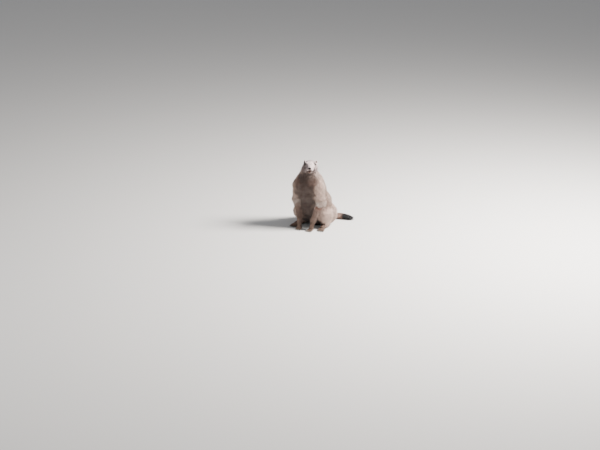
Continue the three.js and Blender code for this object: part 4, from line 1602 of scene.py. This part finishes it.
@dataclass(frozen=True)
class Tail:
    """The bushy tail: long tufts that follow the tail's own bends, over its core and past its tip."""

    marmot: Marmot
    pelt: Pelt
    count: int = 4200
    stops: int = 240
    seed: int = 17
    floor_ease: float = 6.0

    def line(self) -> tuple[Array, Array]:
        """The tail's middle line at even steps, and the core's radius there.

        The line is a smooth curve through the joints: each stretch is the cubic whose slope at a
        joint is half the way from the joint before to the joint after.

        Returns:
            Places and radii.
        """
        joints = np.array(self.marmot.tail_joints, float)
        padded = np.concatenate([[2 * joints[0] - joints[1]], joints, [2 * joints[-1] - joints[-2]]])
        u = np.linspace(0, len(joints) - 1 - 1e-6, 400)
        n, t = u.astype(int), (u % 1)[:, None]
        a, b, c, d = (padded[n + k] for k in range(4))
        squared, cubed = 2 * a - 5 * b + 4 * c - d, 3 * b - a - 3 * c + d
        curve = 0.5 * (2 * b + (c - a) * t + squared * t**2 + cubed * t**3)
        far = np.append(0, np.cumsum(np.linalg.norm(np.diff(curve, axis=0), axis=1)))
        even = np.linspace(0, far[-1], self.stops)
        places = np.stack([np.interp(even, far, curve[:, k]) for k in range(3)], 1)
        radii = np.interp(np.interp(even, far, u), np.arange(len(joints)), self.marmot.tail_radii)
        return places, radii

    def build(self, shift: Array, finishes: Finishes) -> None:
        """Grow the tail's fur: at t along a tuft it is length * t further along the tail's line.

        Its height over the core rises by bush * (1 - (1 - t)^2), and past the tail's end the line
        runs straight on. What would lie under a lowest height, by d, is eased off the floor: its height
        over the floor's gap is the lowest height's own, times e^(-d / floor_ease).

        Args:
            shift: the body's origin in the CAD frame.
            finishes: the materials.
        """
        rng = np.random.default_rng(self.seed)
        tufts = Tufts()
        line, radii = self.line()
        along_line = unit(np.gradient(line, axis=0))
        full = np.linalg.norm(np.diff(line, axis=0), axis=1).sum()
        start = np.sort(rng.uniform(0.02, 1.0, self.count)) ** 0.9 * full
        turn = rng.uniform(0, 2 * math.pi, self.count)
        length = rng.uniform(30, 44, self.count)
        fullness = np.interp(start / full, (0, 0.25, 0.8, 1), (7, 10, 11, 8))
        bush = rng.uniform(0.35, 1.0, self.count) ** 0.7 * fullness
        curl = 0.35 * waver(np.stack([start, 14 * np.cos(turn), 14 * np.sin(turn)], 1), 20, 3)
        width = rng.uniform(1.7, 2.9, self.count)
        core = np.interp(start, np.linspace(0, full, self.stops), radii) - 1.0
        rings = []
        for t, scale in ((0, 0.8), (1 / 3, 0.8), (2 / 3, 0.5), (1, 0)):
            centre, along = self.at(line, along_line, full, start + length * t)
            side = unit(np.cross(along, [0, 0, 1.0]))
            up = np.cross(side, along)
            a = turn + curl * t
            out = np.cos(a)[:, None] * side + np.sin(a)[:, None] * up
            height = core * (1 - 0.3 * t) + bush * (1 - (1 - t) ** 2)
            place = centre + out * height[:, None]
            rings += [place] if t == 1 else tufts.ring(place, np.cross(out, along), out, width * scale)
        points, faces, run = tufts.joined(np.stack(rings, 1))
        shade = rng.uniform(0.8, 1.2, self.count).repeat(len(run) // self.count)
        z, lowest = points[:, 2], FLOOR_GAP + 1.2 * shade
        eased = FLOOR_GAP + (lowest - FLOOR_GAP) * np.exp((z - lowest) / self.floor_ease)
        points[:, 2] = np.where(z < lowest, eased, z)
        made = to_mesh("coat_tail", points, faces, shift)
        base = np.full((len(points), 3), TAIL_BROWN)
        colour = self.pelt.markings_and_painted_light(points, base) * shade[:, None]
        add_colour(made, "colour", colour * tufts.fade(run))
        spots = 0.01 + 0.98 * np.stack([turn / math.tau, start / full], 1)
        add_uv(made, tufts.bake_map(spots, run, 10))
        dress(made, finishes.coat)

    def at(self, line: Array, ways: Array, full: float, far: Array) -> tuple[Array, Array]:
        """Places and ways along the tail's line, run straight on past its end.

        Args:
            line: the line's places at even steps.
            ways: the line's ways there.
            full: its length.
            far: distances along it.

        Returns:
            Places and unit ways, one row for each distance.
        """
        even = np.linspace(0, full, len(line))
        place = np.stack([np.interp(far, even, line[:, k]) for k in range(3)], 1)
        way = unit(np.stack([np.interp(far, even, ways[:, k]) for k in range(3)], 1))
        return place + ways[-1] * np.maximum(far - full, 0)[:, None], way


# Face, claws and whiskers


@dataclass
class Face:
    """Eyes, lids, nose, mouth line, ears and whiskers, in the head's frame."""

    marmot: Marmot
    shift: Array
    finishes: Finishes
    ear_tufts: int = 3200
    whiskers_a_side: int = 16

    @property
    def head(self) -> Head:
        """The head that carries them."""
        return self.marmot.head

    def put(self, name: str, points: Array, faces: list[Array], colour: Array) -> bpy.types.Object:
        """A piece from corners given in the head's frame, with its colours.

        Args:
            name: the piece's name.
            points: corners in the head's frame.
            faces: arrays of corner numbers.
            colour: one colour for all, or one for each corner.

        Returns:
            The mesh object.
        """
        piece = to_mesh(name, self.head.to_body(points), faces, self.shift)
        add_colour(piece, "colour", np.broadcast_to(np.array(colour, float), (len(points), 3)))
        return piece

    def eyes(self) -> None:
        """Each eyeball is a sphere with a slight bulge of the clear front: r * (1 + 0.05 e^(-(a / 30)^2)).

        Here a is the angle from the way the eye looks, in degrees. The iris is a lighter ring.
        """
        for side, label in SIDES:
            centre, axis, level, up = self.head.eye_frame(side)
            a = np.radians(np.linspace(0.5, 179.5, 49))[:, None]
            b = np.linspace(0, 2 * math.pi, 48, endpoint=False)[None, :]
            r = self.head.eye_radius * (1 + 0.05 * np.exp(-((np.degrees(a) / 30) ** 2)))
            way = np.cos(a)[..., None] * axis + np.sin(a)[..., None] * (
                np.cos(b)[..., None] * level + np.sin(b)[..., None] * up
            )
            points, faces = sweep(centre + r[..., None] * way)
            angle = np.degrees(np.arccos(np.clip(unit(points - centre) @ axis, -1, 1)))
            iris = smoothstep(19, 23, angle) * smoothstep(46, 40, angle)
            piece = self.put(f"eyeball_{label}", points, faces, between(PUPIL, IRIS, iris))
            dress(piece, self.finishes.eye, [f"eye_{label}"])

    def lids(self) -> None:
        """Lids: round an oval opening, a thin fold that rises off the eyeball and sinks into the skin.

        The angle from the eye's axis goes from the opening's edge out by 32 degrees, and the height
        over the eyeball is 0.1 + 1.7 sin(pi t^0.5)^0.8, less 1.5 t^4 to sink the outer edge.
        """
        radius = self.head.eye_radius
        wide, high = (math.degrees(math.asin(o / radius)) for o in self.head.opening)
        parts = []
        for side in (1, -1):
            centre, axis, level, up = self.head.eye_frame(side)
            b = np.linspace(0, 2 * math.pi, 56, endpoint=False)[:, None]
            t = np.linspace(0, 1, 12)[None, :]
            edge = np.hypot(wide * np.cos(b), high * np.sin(b))
            angle = np.radians(edge + 32 * t)
            lift = 0.1 + 1.7 * np.sin(math.pi * t**0.5).clip(0) ** 0.8 - 1.5 * t**4
            around = np.cos(b)[..., None] * level + np.sin(b)[..., None] * up
            way = np.cos(angle)[..., None] * axis + np.sin(angle)[..., None] * around
            front = centre + (radius + lift)[..., None] * way
            back = centre + (radius - 1.2) * way[:, :1]
            last = centre + (radius - 6.0) * way[:, -1:]
            rings = np.concatenate([back, front, last], 1)
            n = np.arange(rings.shape[0] * rings.shape[1]).reshape(rings.shape[:2])
            after, over = np.roll(n, -1, 0), np.roll(n, -1, 1)
            quads = np.stack([n, over, np.roll(after, -1, 1), after], -1).reshape(-1, 4)
            if side < 0:
                quads = quads[:, ::-1]
            parts.append((rings.reshape(-1, 3), [quads]))
        points, faces = merged(parts)
        piece = self.put("eyelids", points, faces, LID)
        dress(piece, self.finishes.skin)

    def nose(self) -> None:
        """The nose pad: an ellipsoid pressed in by a middle groove and two nostrils."""
        centre, radii = np.array(self.head.nose), np.array(self.head.nose_radii)
        a = np.radians(np.linspace(1, 179, 61))[:, None]
        b = np.linspace(0, 2 * math.pi, 64, endpoint=False)[None, :]
        way = np.stack(np.broadcast_arrays(np.sin(a) * np.cos(b), -np.cos(a), np.sin(a) * np.sin(b)), -1)
        x, z = way[..., 0], way[..., 2]
        groove = 0.10 * np.exp(-((x / 0.09) ** 2)) * smoothstep(0.3, -0.2, z)
        across, down = (np.abs(x) - 0.5) / 0.24, (z + 0.02 + 0.5 * (np.abs(x) - 0.5)) / 0.22
        hole = 0.62 * np.exp(-((across**2 + down**2) ** 1.5)) * (way[..., 1] < 0)
        points, faces = sweep(centre + radii * way * (1 - groove - hole)[..., None])
        # Painted shade: the nostrils darkened with the depth of their holes.
        dark = np.concatenate([hole.reshape(-1), [0, 0]])
        piece = self.put("nose", points, faces, np.array(NOSE) * (1 - 1.3 * dark)[:, None].clip(0.1))
        dress(piece, self.finishes.nose, ["nose_pad"])

    def mouth(self) -> None:
        """The lips and the parting below the nose, as thin dark cords sunk in the skin."""
        line, parting = self.marmot.mouth_line(0.8), self.marmot.parting(0.9)
        t = np.linspace(-1, 1, len(line))
        lips = tube(line, 1.25 * np.sqrt(np.clip(1 - t**4, 0.02, 1)), 8)
        cord = tube(parting, np.full(len(parting), 0.75), 8, flat_way=(1, 0, 0))
        points, faces = merged([sweep(lips), sweep(cord)])
        piece = self.put("lips", points, faces, LIP)
        dress(piece, self.finishes.skin)

    def ears(self) -> None:
        """Each ear is a round cup: a front and a back bowl, meeting in a rolled rim.

        The rim is an oval about the ear's own centre, narrowed by up to 0.16 at its foot.
        """
        bands, around = 14, 40
        for side, label in SIDES:
            out, back, up = self.ear_frame(side)
            centre = mirrored(self.head.ear, side)
            s = np.concatenate([np.linspace(0.03, 1, bands), np.linspace(1, 0.03, bands)])[:, None]
            b = np.linspace(0, 2 * math.pi, around, endpoint=False)[None, :]
            notch = 1 - 0.16 * np.exp(-(((b - 1.5 * math.pi) / 0.5) ** 2))
            bowl = self.ear_bowl(s, np.arange(2 * bands)[:, None] < bands, 0.55)
            wide, high = (radius * s * notch for radius in self.head.ear_radii)
            rings = (
                centre
                + out * np.broadcast_to(bowl, wide.shape)[..., None]
                + back * (wide * np.cos(b))[..., None]
                + up * (high * np.sin(b))[..., None]
            )
            points, faces = sweep(rings if side < 0 else rings[:, ::-1])
            colour = between(EAR_BACK, EAR_FRONT, np.arange(len(points)) < bands * around)
            piece = self.put(f"ear_{label}_cup", points, faces, colour)
            dress(piece, self.finishes.skin, [f"ear_{label}"])

    def ear_frame(self, side: float) -> tuple[Array, Array, Array]:
        """How an ear's oval is turned.

        Args:
            side: +1 for the left ear, -1 for the right.

        Returns:
            The ways out of, back along and up the oval.
        """
        x, y, z = np.array(self.head.ear_tilt) * (1, side, side)
        turn = turning(0, x) @ turning(1, y) @ turning(2, z)
        return turn @ [side, 0, 0], turn @ [0, 1, 0], turn @ [0, 0, 1]

    def ear_bowl(self, s: Array, front: Array, gap: float) -> Array:
        """How far out of the rim's plane an ear's surface lies: gap - depth * (1 - s^2.4).

        On the back bowl the gap counts the other way.

        Args:
            s: shares of the way from the middle to the rim.
            front: whether each place is on the front bowl.
            gap: how far the rolled rim stands off its plane.

        Returns:
            Distances along the way out.
        """
        front_depth, back_depth = self.head.ear_bowls
        return (1 - s**2.4) * np.where(front, -front_depth, -back_depth) + np.where(front, gap, -gap)

    def ear_fur(self) -> None:
        """Short tufts over the back, the rim and the inner edge of each ear, pointing to its tip."""
        rng = np.random.default_rng(12)
        tufts, count = Tufts(), self.ear_tufts
        wide, high = self.head.ear_radii
        made, spots = [], []
        for side in (1, -1):
            out, back, up = self.ear_frame(side)
            b = rng.uniform(0, 2 * math.pi, count)
            inner = rng.random(count) < 0.4
            s = np.sqrt(rng.uniform(np.where(inner, 0.3, 0.03), 1))
            bowl = self.ear_bowl(s, inner, 0.5)
            rim = np.cos(b)[:, None] * back * wide + np.sin(b)[:, None] * up * high
            facing = np.where(inner, 0.8, -0.8)[:, None]
            normal = unit(out * facing + unit(rim) * (s**2)[:, None])
            root = mirrored(self.head.ear, side) + out * bowl[:, None] + rim * s[:, None] + 0.8 * normal
            lie = unit(up + 0.6 * unit(rim) + 0.3 * back + 0.15 * rng.normal(size=root.shape))
            lie = flat_on(normal, lie)
            length = np.where(s > 0.85, 3.4, 5.2) * rng.uniform(0.6, 1.2, count)
            width = rng.uniform(0.7, 1.2, count)
            made.append(tufts.spikes(root, normal, lie, length, np.full(count, 1.4), width, 0))
            spots.append(np.stack([b / 6.3, s], 1) * (0.48, 0.96) + (0.01 if side > 0 else 0.51, 0.02))
        points, faces = merged([(p, f) for p, f, _ in made])
        along = np.concatenate([a for _, _, a in made])
        # The ear fur takes the crown's colour, painted pale as if sunlit.
        piece = self.put("coat_ears", points, faces, np.array(CROWN) * (0.4 + 0.6 * along)[:, None])
        add_uv(piece, tufts.bake_map(np.concatenate(spots), along, 4))
        dress(piece, self.finishes.coat)

    def whiskers(self) -> None:
        """Whiskers: thin tapering cords in rows on each pad, curving out, back and a little down."""
        rng = np.random.default_rng(9)
        parts = []
        for side in (1, -1):
            for n in range(self.whiskers_a_side):
                row, place = divmod(n, 4)
                start = mirrored((8.0 + 3.2 * place, -30.0 + 4.5 * place, -19.5 - 3.4 * row), side)[None]
                way = unit(mirrored((0.9, -0.55 + 0.22 * place, 0.12 - 0.10 * row), side)[None])
                root = self.marmot.leaving(start * 0.7, way, 1.5)[0]
                length = rng.uniform(28, 44)
                t = np.linspace(0, 1, 9)[:, None]
                bend = np.array([0.12 * side, 0.42, -0.12 + 0.05 * rng.normal()])
                path = root + way * length * t + bend * length * t**2
                parts.append(sweep(tube(path, 0.26 * (1 - 0.85 * t[:, 0]), 5)))
        points, faces = merged(parts)
        piece = self.put("whiskers", points, faces, WHISKER)
        dress(piece, self.finishes.claw)


@dataclass
class Claws:
    """The claws of the four feet: curved, tapering, a little deeper than wide."""

    marmot: Marmot
    shift: Array
    finishes: Finishes

    def one(self, bend: Array, end: Array, length: float) -> tuple[Array, list[Array]]:
        """One claw: forward from the toe's tip, rising 1.5 t and falling 5.2 t^2.

        Args:
            bend: the toe's bend.
            end: the toe's tip.
            length: the claw's reach past the toe.

        Returns:
            Corners and faces.
        """
        ahead = unit(end - bend)
        flat = unit(np.array([ahead[0], ahead[1], 0]))
        t = np.linspace(0, 1, 12)[:, None]
        rise = np.array([0, 0, 1]) * (1.5 * t - 5.2 * t * t)
        path = end + np.array([0, 0, 1.6]) + flat * t * (length + 2) + rise
        radii = 2.3 * np.sqrt(np.clip(1 - t[:, 0] ** 1.7, 0.004, 1))
        return sweep(tube(path, radii, 10, flat=1.15))

    def build(self) -> None:
        """Make one piece of claws for each foot."""
        for part, toes in (("forepaw", self.marmot.fore_toes), ("hind_foot", self.marmot.hind_toes)):
            for side, label in SIDES:
                claws = [self.one(bend, end, toes.claw) for _, bend, end in toes.rows(side)]
                points, faces = merged(claws)
                piece = to_mesh(f"claws_{part}_{label}", points, faces, self.shift)
                along = np.tile(np.append(np.repeat(np.linspace(0, 1, 12), 10), [0.0, 1.0]), toes.count)
                add_colour(piece, "colour", between(CLAW_ROOT, CLAW_TIP, along))
                nodes = [f"{part}_{label}_claw_{n + 1}" for n in range(toes.count)]
                dress(piece, self.finishes.claw, nodes)


# Floor, light and camera


@dataclass(frozen=True)
class Studio:
    """A plain pale floor, soft light from the upper right, and the photograph's view."""

    azimuth: float = 30.0
    elevation: float = 18.0
    lens: float = 85.0
    sensor: float = 36.0
    frame_width: int = 600
    mm_per_pixel: float = 6.0
    foot_pixel: tuple[float, float] = (310.0, 227.2)
    frame_centre: tuple[float, float] = (300.0, 225.0)
    aim: Point = (20.0, 0.0, 200.0)
    floor_reach: float = 60000.0
    floor_colour: Point = (0.64, 0.63, 0.61)
    surround: Point = (0.93, 0.95, 1.0)
    surround_strength: float = 0.38

    def floor(self) -> None:
        """A wide level floor."""
        corners = np.array([[-1, -1, 0], [1, -1, 0], [1, 1, 0], [-1, 1, 0]], float) * self.floor_reach
        floor = to_mesh("floor", corners, [np.array([[0, 1, 2, 3]])], np.zeros(3))
        pale = bpy.data.materials.new("pale_floor")
        pale.use_nodes = True
        shader = pale.node_tree.nodes["Principled BSDF"]
        shader.inputs["Base Color"].default_value = (*self.floor_colour, 1)
        shader.inputs["Roughness"].default_value = 0.9
        floor.data.materials.append(pale)

    def lamp(self, name: str, place: Point, size: float, power: float, colour: Point, aim: Point) -> None:
        """A square area lamp.

        Args:
            name: its name.
            place: where it stands, in metres.
            size: its side, in metres.
            power: its power, in watts.
            colour: its colour.
            aim: what it points at.
        """
        data = bpy.data.lights.new(name, "AREA")
        data.size, data.energy, data.color = size, power, colour
        lamp = bpy.data.objects.new(name, data)
        lamp.location = place
        lamp.rotation_euler = (Vector(place) - Vector(aim)).to_track_quat("Z", "Y").to_euler()
        bpy.context.scene.collection.objects.link(lamp)

    def lights(self, shift: Array) -> None:
        """A warm key from the upper right, a broad fill and a pale surround.

        Args:
            shift: the body's origin in the CAD frame, in millimetres.
        """
        aim = tuple((np.array(self.aim) + shift) * MM)
        self.lamp("key", (2.2, 0.6, 2.3), 1.0, 580, (1.0, 0.955, 0.92), aim)
        self.lamp("fill", (-1.4, -3.2, 1.8), 2.4, 18, (0.95, 0.97, 1.0), aim)
        world = bpy.data.worlds.new("surround")
        world.use_nodes = True
        background = world.node_tree.nodes["Background"]
        background.inputs["Color"].default_value = (*self.surround, 1)
        background.inputs["Strength"].default_value = self.surround_strength
        bpy.context.scene.world = world

    def camera(self, shift: Array) -> None:
        """The photograph's camera: its axis passes the frame's centre, aside from the animal's feet.

        Args:
            shift: the body's origin in the CAD frame, in millimetres.
        """
        a, e = math.radians(self.azimuth), math.radians(self.elevation)
        back = np.array([math.sin(a) * math.cos(e), -math.cos(a) * math.cos(e), math.sin(e)])
        right = np.array([math.cos(a), math.sin(a), 0.0])
        up = np.cross(back, right)
        across = (self.foot_pixel[0] - self.frame_centre[0]) * self.mm_per_pixel
        rise = (self.foot_pixel[1] - self.frame_centre[1]) * self.mm_per_pixel
        target = shift - right * across + up * rise
        away = self.frame_width * self.mm_per_pixel * self.lens / self.sensor
        data = bpy.data.cameras.new("camera")
        data.lens, data.sensor_width = self.lens, self.sensor
        data.clip_start, data.clip_end = 0.1, 300.0
        camera = bpy.data.objects.new("camera", data)
        camera.location = (target + back * away) * MM
        camera.rotation_euler = Vector(back).to_track_quat("Z", "Y").to_euler()
        bpy.context.scene.collection.objects.link(camera)
        bpy.context.scene.camera = camera


def main() -> None:
    """Build the animal's skin, coat, face and claws, then the studio."""
    logging.basicConfig(level=logging.INFO, format="%(message)s")
    marmot = Marmot()
    shift = marmot.shift()
    finishes = Finishes.make()
    pelt = Pelt(marmot, tuple(marmot.guides()))
    skin = Skin(marmot, pelt)
    skin.build(shift, finishes)
    Fur(marmot, pelt, skin).build(shift, finishes)
    Tail(marmot, pelt).build(shift, finishes)
    face = Face(marmot, shift, finishes)
    for part in (face.eyes, face.lids, face.nose, face.mouth, face.ears, face.ear_fur, face.whiskers):
        part()
    Claws(marmot, shift, finishes).build()
    studio = Studio()
    studio.floor()
    studio.lights(shift)
    studio.camera(shift)


if __name__ == "__main__":
    main()
